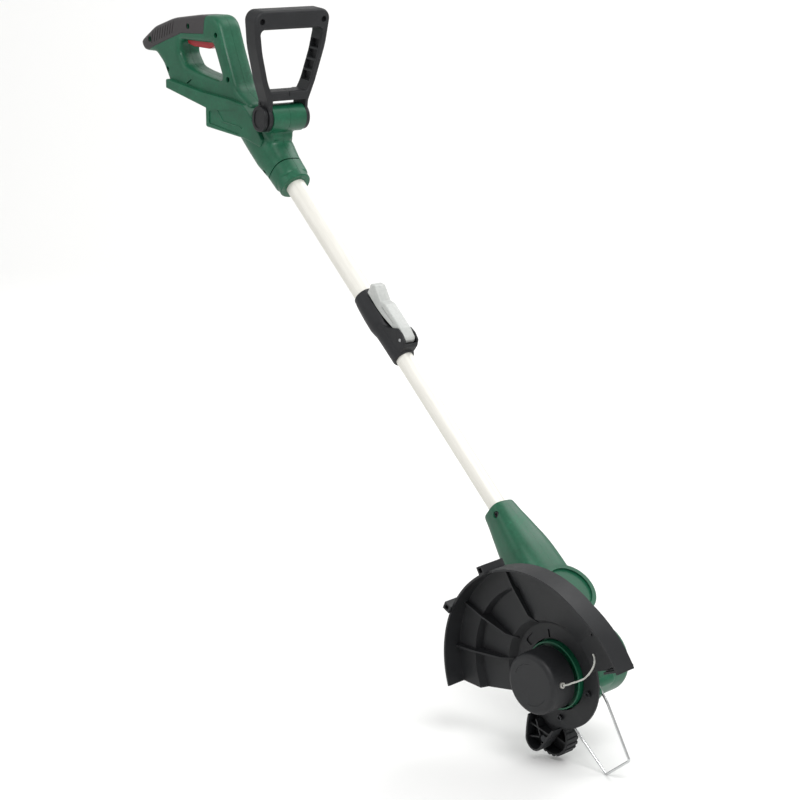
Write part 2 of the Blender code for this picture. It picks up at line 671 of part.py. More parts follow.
def make_motor_housing():
    body = turned("housing", [(0, -12.4), (46, -12.4), (46, -17), (37, -17.6), (37, -27), (BARREL_R, -31),
                              (BARREL_R, -74), (36.5, -81.5), (29, -85), (0, -85)], 36)
    pivot_x, pivot_z = -SPOOL_PLACE[0], -SPOOL_PLACE[2]
    tongue = rod("tongue", (pivot_x, -TONGUE_HALF, pivot_z), (pivot_x, TONGUE_HALF, pivot_z), TONGUE_R, 36)
    join(tongue, box("arm", (pivot_x + 6, 0.3 - TONGUE_HALF, -83), (-30, TONGUE_HALF - 0.3, -46)))
    join(body, tongue, box("foot", (10, -24, -52), (40.2, 24, -13)))
    for radius, angle in GUARD_SCREWS:
        join(body, rod("lug", around(radius, angle, -17.2), around(radius, angle, -12.6), 6, 16))
    cut(body, rod("motor_room", (0, 0, -78), (0, 0, -22), 20.6, 32),
        rod("shaft_bore", (0, 0, -23), (0, 0, 0), 3.2, 16))
    cut(body, rod("bolt_bore", (pivot_x, -60, pivot_z), (pivot_x, 60, pivot_z), 4.35, 16))
    for side in (-1, 1):
        start, end = wire_point(HINGE_REACH, side * 23), wire_point(HINGE_REACH, side * 50)
        cut(body, rod("wire_hole", start, end, 1.95, 12))
        for k in range(3):
            height = -45 - 7 * k
            cut(body, box("vent", (6, side * 45 - 12, height), (30, side * 45 + 12, height + 2.6)))
    for radius, angle in GUARD_SCREWS:
        cut(body, rod("thread", around(radius, angle, -20), around(radius, angle, -10), 1.9, 8))
    lower = cut(copy_of(body, "motor_housing_lower"), box("half", (-130, -0.15, -120), (60, 60, 0)))
    upper = cut(body, box("half", (-130, -60, -120), (60, 0.15, 0)))
    upper.name = "motor_housing_upper"
    finish(lower, spool_frame, GREEN, 0.45)
    finish(upper, spool_frame, GREEN, 0.45)
    can = turned("motor", [(0, -24.5), (8, -24.5), (8, -26.5), (20, -26.5), (20, -74), (8, -74), (8, -77),
                           (0, -77)], 32)
    cut(can, rod("bore", (0, 0, -60), (0, 0, 0), 2.9, 16))
    finish(can, spool_frame, STEEL, 0.4, 1.0)


# Guard section as (radius, height): the top side going out, then the outside and underside back.
GUARD_TOP = [(59, -3.2), (66, 5), (104, 8), (107, 17), (129, 18.5)]
GUARD_SMOOTH_TOP = [(59, -3.2), (66, 5), (104, 15), (107, 16), (129, 22)]
GUARD_UNDER = [(108.6, 14.4, 13), (105.8, 5.6, 12.4), (66.6, 2.6, 2.6), (60, -5.2, -5.2)]
GUARD_START, GUARD_TURN_IN, GUARD_END = -55, -70, 121
SMOOTH_FROM = 28
RIB_ANGLES = (-36, -10, 28)
LUG_ANGLES = (-12, 22)


def guard_section(share):
    """One ring of the guard's section, at a share of the way from its left end to its right."""
    ring = []

    def place(radius, lift_left, lift_right):
        inward = min(1, max(0, (GUARD_R - 3 - radius) / (GUARD_R - 3 - 63)))
        start = GUARD_START + (GUARD_TURN_IN - GUARD_START) * inward
        angle = start + (GUARD_END - start) * share
        blend = min(1, max(0, (angle - SMOOTH_FROM + 2) / 4))
        droop = 11 * max(0, (angle - 86) / 33) * min(1, max(0, (radius - 66) / 40))
        height = lift_left + (lift_right - lift_left) * blend - droop
        ring.append(around(radius, angle, height))

    for (radius, left), (_, right) in zip(GUARD_TOP, GUARD_SMOOTH_TOP):
        place(radius, left, right)
    place(GUARD_R - GUARD_WALL, 19, 22.5)
    place(GUARD_R - GUARD_WALL, 42, 45)
    place(GUARD_R, 42, 45)
    place(GUARD_R, 15.8, 19)
    for radius, left, right in GUARD_UNDER:
        place(radius, left, right)
    return ring


def make_guard():
    steps = 27
    guard = loft("guard", [guard_section(k / steps) for k in range(steps + 1)])
    collar = turned("collar", [(41.5, -3), (63, -3), (63, -5.4), (43.6, -5.4), (43.6, -12), (41.5, -12)], 48)
    join(guard, collar)
    for angle in RIB_ANGLES:
        rib = [(61, -4.2), (104, 5.4), (108, 15.4), (131.4, 16.8), (131.4, 25), (107, 21.5), (72, 12), (61, 1)]
        join(guard, facing(plate("rib", [rib], 2.2), angle))
    for angle in LUG_ANGLES:
        lug = cut(box("lug", (131.2, -4.6, 13), (141.5, 4.6, 46)), box("socket", (134, -2.6, 16), (139.3, 2.6, 60)))
        join(guard, facing(lug, angle))
    join(guard, facing(box("end_wall", (112, -1.2, 6), (131.6, 1.2, 33)), 119.4))
    for radius, angle in GUARD_SCREWS:
        join(guard, rod("boss", around(radius, angle, -12), around(radius, angle, -4), 4.8, 16))
        cut(guard, rod("hole", around(radius, angle, -14), around(radius, angle, 4), 2.0, 10))
    window = plate("window", [rounded([(44.5, -7, 2), (53, -8, 3), (53, 8, 3), (44.5, 7, 2)])], 20, "XY", 5.5)
    cut(guard, facing(window, 2))
    guard.name = "guard"
    finish(guard, spool_frame, BLACK, 0.55)
    for number, (radius, angle) in enumerate(GUARD_SCREWS, 1):
        screw(f"guard_screw_{number}", around(radius, angle, 0.4), around(radius, angle, -16.5), 3.4, spool_frame)
    blade = facing(box("line_cutter", (113, 1.5, 17), (129.8, 2.7, 30)), 119.4)
    finish(blade, spool_frame, STEEL, 0.3, 1.0)


BRACKET = [(4, -56), (13, -74, 20), (25, -93, 14), (46, -93, 12), (45, -70, 6), (44, -40), (30, -28), (14, -44)]
BRACKET_FLOOR, BRACKET_FRONT = -8.2, 9


def make_wheel_bracket():
    depth = BRACKET_FRONT - BRACKET_FLOOR
    body = plate("wheel_bracket", [rounded(BRACKET)], depth, "XY", (BRACKET_FRONT + BRACKET_FLOOR) / 2)
    pocket = plate("pocket", [rounded(BRACKET)], depth, "XY", (BRACKET_FRONT + BRACKET_FLOOR) / 2 + 2.4, shrink=2.3)
    cut(body, pocket)
    x, y = WHEEL_AXLE
    for start, end in (((14, -72), (44, -58)), ((16, -60), (44, -78)), ((22, -88), (44, -62))):
        way = Vector(end) - Vector(start)
        rib = box("rib", (-1, -0.9, BRACKET_FLOOR + 0.4), (way.length + 1, 0.9, 5.5))
        moved(rib, shift(start[0], start[1], 0) @ turn(math.degrees(math.atan2(way.y, way.x)), "Z"))
        join(body, rib)
    join(body, rod("hub", (x, y, BRACKET_FLOOR + 0.3), (x, y, 2), 6, 20))
    cut(body, rod("collar_room", (0, 0, -5.8), (0, 0, 30), 63.4, 64))
    cut(body, rod("cup_room", (0, 0, -30), (0, 0, 30), 44.2, 48))
    cut(body, rod("axle_bore", (x, y, -20), (x, y, 20), 2.95, 16), rod("head_room", (x, y, 2), (x, y, 20), 5, 16))
    radius, angle = GUARD_SCREWS[0]
    cut(body, rod("boss_room", around(radius, angle, -20), around(radius, angle, 20), 5.2, 16))
    body.name = "wheel_bracket"
    finish(body, spool_frame, BLACK, 0.55)


def make_edge_wheel():
    x, y = WHEEL_AXLE
    teeth = 22
    rim = []
    for k in range(teeth):
        for share, radius in ((0, WHEEL_R), (0.5, WHEEL_R), (0.56, WHEEL_R - 1.3), (0.94, WHEEL_R - 1.3)):
            a = math.tau * (k + share) / teeth
            rim.append((x + radius * math.cos(a), y + radius * math.sin(a)))
    wheel = plate("edge_wheel", [rim], 17.6, "XY", -17.6)
    cup = rod("cup", (x, y, -23.8), (x, y, 0), WHEEL_R - 3.2, 28)
    cut(cup, rod("hub", (x, y, -30), (x, y, 10), 5.4, 20))
    cut(wheel, cup, rod("bore", (x, y, -40), (x, y, 10), 2.95, 16))
    wheel.name = "edge_wheel"
    finish(wheel, spool_frame, "202224", 0.6, pivot=(x, y, -17))
    axle = join(rod("wheel_axle", (x, y, -26.9), (x, y, 4), 2.6, 16), rod("head", (x, y, 2.4), (x, y, 4.2), 4.2, 16),
                rod("clip", (x, y, -28.4), (x, y, -26.7), 4.2, 16))
    axle.name = "wheel_axle"
    finish(axle, spool_frame, STEEL, 0.35, 1.0)


def make_wire_guard():
    half = [(HINGE_REACH, 24), (HINGE_REACH, 31.5), (HINGE_REACH + 0.7, 33.3), (HINGE_REACH + 2.5, 34),
            (53, 34), (56, 33.4), (119, 22.2), (120.6, 21.2), (121, 19)]
    path = half + [(along, -across) for along, across in reversed(half)]
    body = wire("wire_guard", [wire_point(*p) for p in path], 1.5, 2)
    finish(body, spool_frame, STEEL, 0.25, 1.0, wire_point(HINGE_REACH, 0))


LINE_ROUTE = [(24.2, 26.9, 25), (26.6, 29.4, 25), (28.6, 34.5, 25), (31.5, 42, 24.6), (35, 50, 24), (38, 59, 23),
              (38.6, 68, 22.5), (37.8, 76, 22), (35.8, 84, 22), (31.6, 89.4, 22), (27.4, 91.4, 22)]
LINE_R = 1.0


def smooth_route(points, pieces):
    """Points read from a Catmull-Rom curve through the route's own points."""
    route = [Vector(p) for p in points]
    route = [route[0] * 2 - route[1]] + route + [route[-1] * 2 - route[-2]]
    result = []
    for a, b, c, d in zip(route, route[1:], route[2:], route[3:]):
        for k in range(pieces):
            t = k / pieces
            result.append(0.5 * (2 * b + (c - a) * t + (2 * a - 5 * b + 4 * c - d) * t ** 2
                                 + (3 * b - a - 3 * c + d) * t ** 3))
    return result + [Vector(points[-1])]


def eyelet_point(radius):
    """A point on the eyelet's own line, out from the spool axis."""
    place = Vector(LINE_ROUTE[0][:2]).normalized() * radius
    return (place.x, place.y, LINE_ROUTE[0][2])


def make_spool():
    cup = turned("spool_cup", [(37.4, CUP_RIM), (CUP_R, CUP_RIM), (CUP_R, -10), (8, -10), (8, -12), (3, -12), (3, -4), (8, -4),
                               (8, -7.6), (37.4, -7.6)], 36)
    finish(cup, spool_frame, "1c5039", 0.45)
    cap = turned("spool_cap", [(0, CAP_FACE), (31, CAP_FACE), (34.4, 36.9), (CAP_R, 33.6), (CAP_R, CAP_RIM),
                               (33.6, CAP_RIM),
                               (33.6, 32.4), (30.4, 35.9), (0, 35.9)], 36)
    cut(cap, rod("eye_hole", eyelet_point(25), eyelet_point(50), 4.1, 20))
    finish(cap, spool_frame, BLACK, 0.5)
    eyelet = cut(rod("line_eyelet", eyelet_point(32), eyelet_point(37.4), 3.7, 20),
                 rod("bore", eyelet_point(25), eyelet_point(50), 1.5, 12))
    eyelet.name = "line_eyelet"
    finish(eyelet, spool_frame, "c9c8c2", 0.4, 0.6)
    reel = turned("line_spool", [(6, 34), (31, 34), (31, 32), (13, 32), (13, 7), (31, 7), (31, 5), (11.5, 5),
                                 (11.5, 20), (6, 20)], 36)
    finish(reel, spool_frame, "2b2d2f", 0.5)
    coil = turned("wound_line", [(13.4, 31.6), (26, 31.6), (26, 7.4), (13.4, 7.4)], 36)
    finish(coil, spool_frame, "c8cbc4", 0.4)
    turns, turn_points, spring_r, low, rise = 4, 8, 10, -6.4, 20
    points = []
    for k in range(turns * turn_points + 1):
        a = math.tau * k / turn_points
        points.append((spring_r * math.cos(a), spring_r * math.sin(a), low + rise * k / (turns * turn_points)))
    spring = wire("bump_spring", points, 0.7, 1)
    finish(spring, spool_frame, STEEL, 0.3, 1.0)
    shaft = rod("motor_shaft", (0, 0, -45), (0, 0, 3), 2.5, 16)
    finish(shaft, spool_frame, STEEL, 0.25, 1.0)
    line = wire("cutting_line", smooth_route([eyelet_point(37.8)] + LINE_ROUTE[2:], 2), LINE_R, 2)
    finish(line, spool_frame, "cfd0c8", 0.3)


make_motor_housing()
make_guard()
make_wheel_bracket()
make_edge_wheel()
make_wire_guard()
make_spool()
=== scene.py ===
import json
import math
import bmesh
import bpy
import numpy as np
from mathutils import Matrix, Vector

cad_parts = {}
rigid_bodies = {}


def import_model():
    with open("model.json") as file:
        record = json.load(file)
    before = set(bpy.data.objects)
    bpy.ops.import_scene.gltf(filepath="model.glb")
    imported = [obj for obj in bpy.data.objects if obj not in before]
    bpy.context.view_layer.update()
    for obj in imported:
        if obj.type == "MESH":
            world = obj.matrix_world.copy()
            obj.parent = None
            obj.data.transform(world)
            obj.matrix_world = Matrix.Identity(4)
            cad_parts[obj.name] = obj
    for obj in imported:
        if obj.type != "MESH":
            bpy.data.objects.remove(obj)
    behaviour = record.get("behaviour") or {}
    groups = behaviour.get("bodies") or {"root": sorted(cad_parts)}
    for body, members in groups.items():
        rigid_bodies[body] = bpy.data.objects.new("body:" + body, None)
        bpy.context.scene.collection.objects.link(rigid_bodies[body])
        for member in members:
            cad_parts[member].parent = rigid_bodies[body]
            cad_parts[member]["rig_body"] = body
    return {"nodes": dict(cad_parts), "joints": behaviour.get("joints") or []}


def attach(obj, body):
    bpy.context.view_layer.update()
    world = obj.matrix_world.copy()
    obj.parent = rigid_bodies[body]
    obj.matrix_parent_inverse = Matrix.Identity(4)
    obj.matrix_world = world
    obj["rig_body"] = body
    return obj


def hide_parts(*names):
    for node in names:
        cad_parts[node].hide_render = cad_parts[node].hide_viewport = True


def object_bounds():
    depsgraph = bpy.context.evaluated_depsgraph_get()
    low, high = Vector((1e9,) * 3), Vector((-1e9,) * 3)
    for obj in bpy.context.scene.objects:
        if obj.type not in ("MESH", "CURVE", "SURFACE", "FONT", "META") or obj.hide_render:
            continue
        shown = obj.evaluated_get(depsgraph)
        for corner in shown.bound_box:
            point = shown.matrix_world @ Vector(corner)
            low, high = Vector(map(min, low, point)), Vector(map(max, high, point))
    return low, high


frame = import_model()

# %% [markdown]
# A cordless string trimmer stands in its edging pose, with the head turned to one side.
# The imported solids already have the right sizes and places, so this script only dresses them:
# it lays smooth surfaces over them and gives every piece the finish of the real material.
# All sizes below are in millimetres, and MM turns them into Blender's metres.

MM = 0.001
CAD_BOX = [list(corner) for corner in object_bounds()]


def placed(name, data):
    """A new object that holds this data, linked into the scene."""
    obj = bpy.data.objects.new(name, data)
    bpy.context.scene.collection.objects.link(obj)
    return obj


print("solids' box", CAD_BOX)

# %% [markdown]
# The trimmer has three natural coordinate systems: the handle's, which stays level, the
# shaft's, with Z up the tubes, and the spool's, with Z out of the spinning head. Each one is
# read from a joint's own axis, so that a surface can be written in simple numbers and still
# land exactly on its solid.

# %% Coordinate systems from the joints
JOINTS = {joint["name"]: joint for joint in frame["joints"]}


def system(x_axis, y_axis, z_axis, origin):
    """A 4x4 matrix from three axes and an origin in metres, for points in millimetres."""
    matrix = np.eye(4)
    matrix[:3, 0], matrix[:3, 1], matrix[:3, 2] = np.array([x_axis, y_axis, z_axis]) * MM
    matrix[:3, 3] = origin
    return matrix


PIVOT = np.array(JOINTS["shaft_turn"]["pos_m"])
UP_SHAFT = np.array(JOINTS["shaft_turn"]["axis"])
OFF_SHAFT = np.array(JOINTS["head_tilt"]["axis"])
SPOOL_OUT = np.array(JOINTS["spool_spin"]["axis"])
SPOOL_FORWARD = np.cross(OFF_SHAFT, SPOOL_OUT)
LEFT = np.array([0.0, 1.0, 0.0])
HANDLE = system([1, 0, 0], LEFT, [0, 0, 1], PIVOT)
SHAFT = system(OFF_SHAFT, LEFT, UP_SHAFT, PIVOT)
SPOOL = system(SPOOL_FORWARD, OFF_SHAFT, SPOOL_OUT, JOINTS["spool_spin"]["pos_m"])
AUX_LEAN = math.radians(6)
AUX = system([math.cos(AUX_LEAN), 0, -math.sin(AUX_LEAN)], LEFT,
             [math.sin(AUX_LEAN), 0, math.cos(AUX_LEAN)], JOINTS["aux_tilt"]["pos_m"])


def put(points, carrier):
    """Points in a system's millimetres, turned into metres in the scene."""
    points = np.asarray(points, float)
    return points @ carrier[:3, :3].T + carrier[:3, 3]


print("spool faces", np.round(SPOOL_OUT, 3))

# %% [markdown]
# The camera comes first.
# A long lens from about 2.7 m keeps the slim machine free of distortion, as a product
# photographer would.

# %% Camera
CAMERA_FROM_PIVOT = (1.945, -1.782, 0.841)
CAMERA_TURN = (77.08, 0, 51.44)
FOCAL_LENGTH, SENSOR_WIDTH = 108.7, 36
lens = bpy.data.cameras.new("camera")
lens.lens = FOCAL_LENGTH
lens.sensor_width = SENSOR_WIDTH
camera = placed("camera", lens)
camera.location = PIVOT + CAMERA_FROM_PIVOT
camera.rotation_euler = [math.radians(a) for a in CAMERA_TURN]
bpy.context.scene.camera = camera
print("camera at", np.round(camera.location, 3))

# %% [markdown]
# Every finish is a node tree on the Principled shader. One small function adds a node, sets its
# properties and links or fills its inputs, so a material reads like a recipe.

# %% Helpers for materials


def linear(hex_colour):
    """An sRGB hex colour as linear values, which is what shader sockets expect."""
    values = np.array([int(hex_colour[i:i + 2], 16) for i in (0, 2, 4)]) / 255
    values = np.where(values <= 0.04045, values / 12.92, ((values + 0.055) / 1.055) ** 2.4)
    return (*values, 1.0)


def add(tree, kind, inputs=None, **settings):
    """Add a node, set its properties, and fill each input with a value or link it to a socket."""
    node = tree.nodes.new(kind)
    for key, value in settings.items():
        setattr(node, key, value)
    for key, value in (inputs or {}).items():
        if isinstance(value, bpy.types.NodeSocket):
            tree.links.new(value, node.inputs[key])
        else:
            node.inputs[key].default_value = value
    return node


def finish(name, roughness, **sockets):
    """A new material with its Principled shader's constant sockets set."""
    material = bpy.data.materials.new(name)
    material.use_nodes = True
    tree = material.node_tree
    shader = tree.nodes["Principled BSDF"]
    shader.inputs["Roughness"].default_value = roughness
    for key, value in sockets.items():
        shader.inputs[key.replace("_", " ")].default_value = value
    return material, tree, shader


def coloured(tree, shader, factor, positions, colours):
    """Give the shader its colour from a ramp with a hex colour at each position."""
    node = add(tree, "ShaderNodeValToRGB", {"Fac": factor})
    elements = node.color_ramp.elements
    while len(elements) < len(colours):
        elements.new(0.5)
    for element, position, colour in zip(elements, positions, colours):
        element.position = position
        element.color = linear(colour)
    tree.links.new(node.outputs["Color"], shader.inputs["Base Color"])


def noise(tree, place, size_mm, detail, **more):
    """A Noise texture whose blobs measure about size_mm."""
    return add(tree, "ShaderNodeTexNoise",
               {"Vector": place, "Scale": 1 / (size_mm * MM), "Detail": detail, **more})


def gloss(tree, shader, factor, low, high, smooth, rough):
    """Let the roughness run from one value to another while the factor runs from low to high."""
    node = add(tree, "ShaderNodeMapRange", {"Value": factor, "From Min": low, "From Max": high,
                                            "To Min": smooth, "To Max": rough})
    tree.links.new(node.outputs["Result"], shader.inputs["Roughness"])


def relief(tree, shader, height, strength, depth_mm):
    """A Bump node from a height to the shader's normal."""
    node = add(tree, "ShaderNodeBump", {"Height": height, "Strength": strength, "Distance": depth_mm * MM})
    tree.links.new(node.outputs["Normal"], shader.inputs["Normal"])


SCUFF_STOPS, CLOUD_MM, SCUFF_MM, GLOSS_SPREAD = (0.12, 0.3, 0.42), 38, 3.5, 0.07


def moulded(name, colours, roughness, grain_mm, bump, **sockets):
    """Injection-moulded plastic: spark-eroded grain, a broad uneven gloss and a hint of dust."""
    material, tree, shader = finish(name, roughness, **sockets)
    place = add(tree, "ShaderNodeTexCoord").outputs["Object"]
    grain = noise(tree, place, grain_mm, 3.0, Roughness=0.6)
    cloud = noise(tree, place, CLOUD_MM, 4.0)
    scuff = noise(tree, place, SCUFF_MM, 5.0, Roughness=0.7)
    mix = add(tree, "ShaderNodeMath", {0: cloud.outputs["Fac"], 1: scuff.outputs["Fac"]},
              operation="MULTIPLY").outputs[0]
    coloured(tree, shader, mix, SCUFF_STOPS, colours)
    gloss(tree, shader, mix, SCUFF_STOPS[0], SCUFF_STOPS[-1],
          roughness - GLOSS_SPREAD, roughness + GLOSS_SPREAD)
    relief(tree, shader, grain.outputs["Fac"], bump, 0.2)
    return material


print("material helpers ready")

# %% [markdown]
# Green and black parts are both moulded plastic. The green housings are ABS, with a satin, evenly
# eroded mould face. The black guard, handle and clamp are glass-filled nylon, which comes out of
# the mould a little rougher and greyer. The mould's real grain is about 0.1 mm, which is too fine
# to show at this size, so it is drawn at 0.7 to 0.9 mm.

# %% Moulded plastics
GREEN_ABS = moulded("green_satin_ABS", ("0f4a33", "14573d", "1b6447"), 0.42, 0.8, 0.10,
                    Specular_IOR_Level=0.4)
BLACK_NYLON = moulded("black_glass_filled_nylon", ("17181a", "1d1e20", "252628"), 0.55, 0.9, 0.16,
                      Specular_IOR_Level=0.35)
DARK_NYLON = moulded("dark_smooth_nylon", ("101113", "161719", "1f2022"), 0.45, 0.7, 0.08,
                     Specular_IOR_Level=0.35)
RED_ABS = moulded("red_ABS", ("8e181f", "a81f27", "b62c33"), 0.38, 0.7, 0.08)
GREY_ACETAL = moulded("pale_grey_acetal", ("a9aca9", "b9bbb8", "c6c8c5"), 0.40, 0.8, 0.06)
SOFT_TPE = moulded("soft_TPE", ("1b1719", "241f21", "2d282a"), 0.75, 0.6, 0.30, Sheen_Weight=0.15)
EYELET_ZINC = moulded("cast_zinc", ("a9a8a2", "c3c2bc", "d4d3cd"), 0.38, 0.6, 0.05, Metallic=0.8)
print("moulded plastics ready")

# %% [markdown]
# The tubes are drawn aluminium with a satin anodised skin. Drawing leaves faint streaks along
# the tube, so the noise is squeezed hard across the tube and stretched along it. The screws,
# pins and the bent wire are steel with a bright zinc plating.

# %% Metals
STREAK_STOPS = (0.3, 0.7)
STREAK_STRETCH = 0.02


def drawn_metal(name, colours, roughness, streak_mm, carrier, metallic=1.0):
    """Metal with streaks along a system's Z axis: noise on coordinates stretched that way."""
    material, tree, shader = finish(name, roughness, Metallic=metallic)
    place = add(tree, "ShaderNodeTexCoord").outputs["Object"]
    turn = Matrix([list(row) for row in carrier[:3, :3] / MM]).inverted().to_euler()
    aligned = add(tree, "ShaderNodeMapping", {"Vector": place, "Rotation": turn})
    squeezed = add(tree, "ShaderNodeMapping", {"Vector": aligned.outputs["Vector"],
                                                  "Scale": (1, 1, STREAK_STRETCH)})
    streak = noise(tree, squeezed.outputs["Vector"], streak_mm, 4.0).outputs["Fac"]
    coloured(tree, shader, streak, STREAK_STOPS, colours)
    gloss(tree, shader, streak, *STREAK_STOPS, roughness - 0.05, roughness + 0.06)
    relief(tree, shader, streak, 0.06, 0.1)
    return material


ANODISED = drawn_metal("satin_anodised_aluminium", ("dad8d0", "e6e4dd"), 0.5, 0.5, SHAFT, 0.35)
BLACK_STEEL = drawn_metal("black_oxide_steel", ("2c2d2f", "3c3d3f"), 0.45, 0.6, SPOOL, 0.8)
ZINC_STEEL = drawn_metal("zinc_plated_steel", ("9fa1a2", "c4c6c7"), 0.30, 0.6, SPOOL)
BRIGHT_WIRE = drawn_metal("bright_steel_wire", ("b9bbbc", "dcdddd"), 0.18, 0.5, SPOOL)
print("metals ready")

# %% [markdown]
# The cutting line is nylon monofilament, 2 mm thick, drawn clear with a slightly milky skin.

# %% Nylon line
NYLON_LINE, line_tree, line_shader = finish("milky_nylon_line", 0.28, Transmission_Weight=0.35, IOR=1.53)
line_place = add(line_tree, "ShaderNodeTexCoord").outputs["Object"]
line_cloud = noise(line_tree, line_place, 4, 3.0).outputs["Fac"]
coloured(line_tree, line_shader, line_cloud, (0.35, 0.65), ("c4c5bd", "dfe0da"))
print("nylon line ready")

# %% [markdown]
# The free end of the line is a cord. It comes straight out of the eyelet and keeps the curl it
# had on the reel, because 2 mm nylon is stiff. Its route is the same list of points as the
# solid's, read through a Catmull-Rom curve, and a round bevel gives it its thickness.

# %% Curves


def catmull(points, pieces):
    """A Catmull-Rom curve: each span is a cubic through its ends with its neighbours' slopes."""
    p = np.asarray(points, float)
    p = np.vstack([2 * p[0] - p[1], p, 2 * p[-1] - p[-2]])
    a, b, c, d = p[:-3, None], p[1:-2, None], p[2:-1, None], p[3:, None]
    t = (np.arange(pieces) / pieces)[None, :, None]
    curve = 0.5 * (2 * b + (c - a) * t + (2 * a - 5 * b + 4 * c - d) * t ** 2
                   + (3 * b - a - 3 * c + d) * t ** 3)
    return np.vstack([curve.reshape(-1, p.shape[1]), p[-2]])


def route_length(points):
    """The length of a run of points, in their own unit."""
    return float(np.linalg.norm(np.diff(points, axis=0), axis=1).sum())


def curve_object(name, runs, dimensions):
    """A curve of straight splines through runs of points in millimetres, closed if it is flat."""
    curve = bpy.data.curves.new(name, "CURVE")
    curve.dimensions = dimensions
    for run in runs:
        run = np.asarray(run, float) * MM
        if run.shape[1] == 2:
            run = np.column_stack([run, np.zeros(len(run))])
        spline = curve.splines.new("POLY")
        spline.points.add(len(run) - 1)
        spline.use_cyclic_u = dimensions == "2D"
        spline.points.foreach_set("co", np.hstack([run, np.ones((len(run), 1))]).ravel())
    return placed(name, curve)


print("curve helpers ready")

# %% Cutting line
LINE_DIAMETER, LINE_EXIT_RADIUS = 2.0, 37.8
EYELET_AT = (24.2, 26.9, 25)
LINE_ROUTE = [(28.6, 34.5, 25), (31.5, 42, 24.6), (35, 50, 24), (38, 59, 23), (38.6, 68, 22.5),
              (37.8, 76, 22), (35.8, 84, 22), (31.6, 89.4, 22), (27.4, 91.4, 22)]
EYELET_WAY = np.array(EYELET_AT[:2]) / np.linalg.norm(EYELET_AT[:2])


def eyelet_point(radius):
    """A point on the eyelet's own line, out from the spool axis."""
    return (*(EYELET_WAY * radius), EYELET_AT[2])


line_points = put(catmull([eyelet_point(LINE_EXIT_RADIUS)] + LINE_ROUTE, 4), SPOOL)
nylon_line = curve_object("nylon_line", [line_points / MM], "3D")
nylon_line.data.bevel_depth = LINE_DIAMETER / 2 * MM
nylon_line.data.bevel_resolution = 4
nylon_line.data.use_fill_caps = True
nylon_line.data.materials.append(NYLON_LINE)
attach(nylon_line, "bump_cap")
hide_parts("cutting_line")
print("line length, mm", round(route_length(line_points) / MM, 1))

# %% [markdown]
# The studio is a pale sweep: a flat floor that curves up behind the machine, so that no horizon
# shows. Of the four soft lamps, the key makes the main highlight, the fill lightens the shadows,
# the rim draws the outline of the dark parts from behind, and the last one keeps the sweep white.

# %% Floor and lights
FLOOR_Z = CAD_BOX[0][2]
SWEEP_HALF, SWEEP_RADIUS, SWEEP_BACK, SWEEP_TOP = 4.0, 1.5, 3.0, 4.0


def sweep_profile(count=24):
    """Distance back and height of the sweep: level, then a quarter circle, then straight up."""
    angle = np.linspace(0, math.pi / 2, count)
    back = SWEEP_BACK + SWEEP_RADIUS * np.sin(angle)
    height = SWEEP_RADIUS * (1 - np.cos(angle))
    return (np.concatenate([[-SWEEP_HALF], back, [back[-1]]]), np.concatenate([[0], height, [SWEEP_TOP]]))


view_way = -np.array(CAMERA_FROM_PIVOT[:2]) / np.linalg.norm(CAMERA_FROM_PIVOT[:2])
side_way = np.array([-view_way[1], view_way[0]])
back, height = sweep_profile()
rows = []
for side in (-SWEEP_HALF, SWEEP_HALF):
    flat = PIVOT[:2] + side_way * side + np.outer(back, view_way)
    rows.append(np.column_stack([flat, FLOOR_Z + height]))
floor_mesh = bpy.data.meshes.new("studio_floor")
count = len(back)
floor_mesh.from_pydata(np.vstack(rows).tolist(), [],
                       [(i, i + 1, count + i + 1, count + i) for i in range(count - 1)])
floor_mesh.shade_smooth()
floor = placed("studio_floor", floor_mesh)
PAPER = finish("pale_paper", 0.9, Base_Color=linear("f3f3f2"))[0]
floor_mesh.materials.append(PAPER)


def lamp(name, place, target, size, power):
    """A square area lamp that faces a point."""
    light = bpy.data.lights.new(name, "AREA")
    light.size = size
    light.energy = power
    obj = placed(name, light)
    obj.location = place
    obj.rotation_euler = (Vector(target) - Vector(place)).to_track_quat("-Z", "Y").to_euler()


def beyond(distance, rise):
    """A point behind the machine as the camera sees it, at a height over the handle's pivot."""
    return PIVOT + distance * np.array([*view_way, 0]) + rise * np.array([0, 0, 1.0])


MIDDLE = (0.4, 0, -0.35)
LAMPS = [("key_lamp", (2.6, -0.9, 2.2), MIDDLE, 1.5, 75),
         ("fill_lamp", (-0.9, -2.4, 1.4), MIDDLE, 1.8, 14),
         ("rim_lamp", (0.4, 2.2, 1.8), MIDDLE, 1.4, 30),
         ("backdrop_lamp", beyond(1.2, 1.9), beyond(4.5, 0.8), 2, 32)]
WORLD_STRENGTH = 0.62
for lamp_settings in LAMPS:
    lamp(*lamp_settings)
world = bpy.data.worlds.new("studio")
world.use_nodes = True
background = world.node_tree.nodes["Background"]
background.inputs["Color"].default_value = linear("ffffff")
background.inputs["Strength"].default_value = WORLD_STRENGTH
bpy.context.scene.world = world
bpy.context.scene.view_settings.view_transform = "Standard"
print("floor at", round(FLOOR_Z, 4))

# %% [markdown]
# A solid arrives as loose flat triangles. A copy of it is welded, its flat triangles are joined
# again, and a narrow Bevel rounds the edges as a mould does, which is what catches the light on
# real plastic. Weighted normals keep the flat faces flat while the rounding stays smooth.

# %% Rounded copies of the solids
EDGE_ANGLE, FLAT_ANGLE = math.radians(38), math.radians(0.6)
WELD, FINE_WELD, LOOSE_WELD = 2e-6, 2e-7, 4e-6


def welded(mesh, distance, *steps):
    """Merge a mesh's points that lie within a distance in metres, then take further steps on it."""
    bm = bmesh.new()
    bm.from_mesh(mesh)
    bmesh.ops.remove_doubles(bm, verts=bm.verts, dist=distance)
    for step in steps:
        step(bm)
    bm.to_mesh(mesh)
    bm.free()
    return mesh


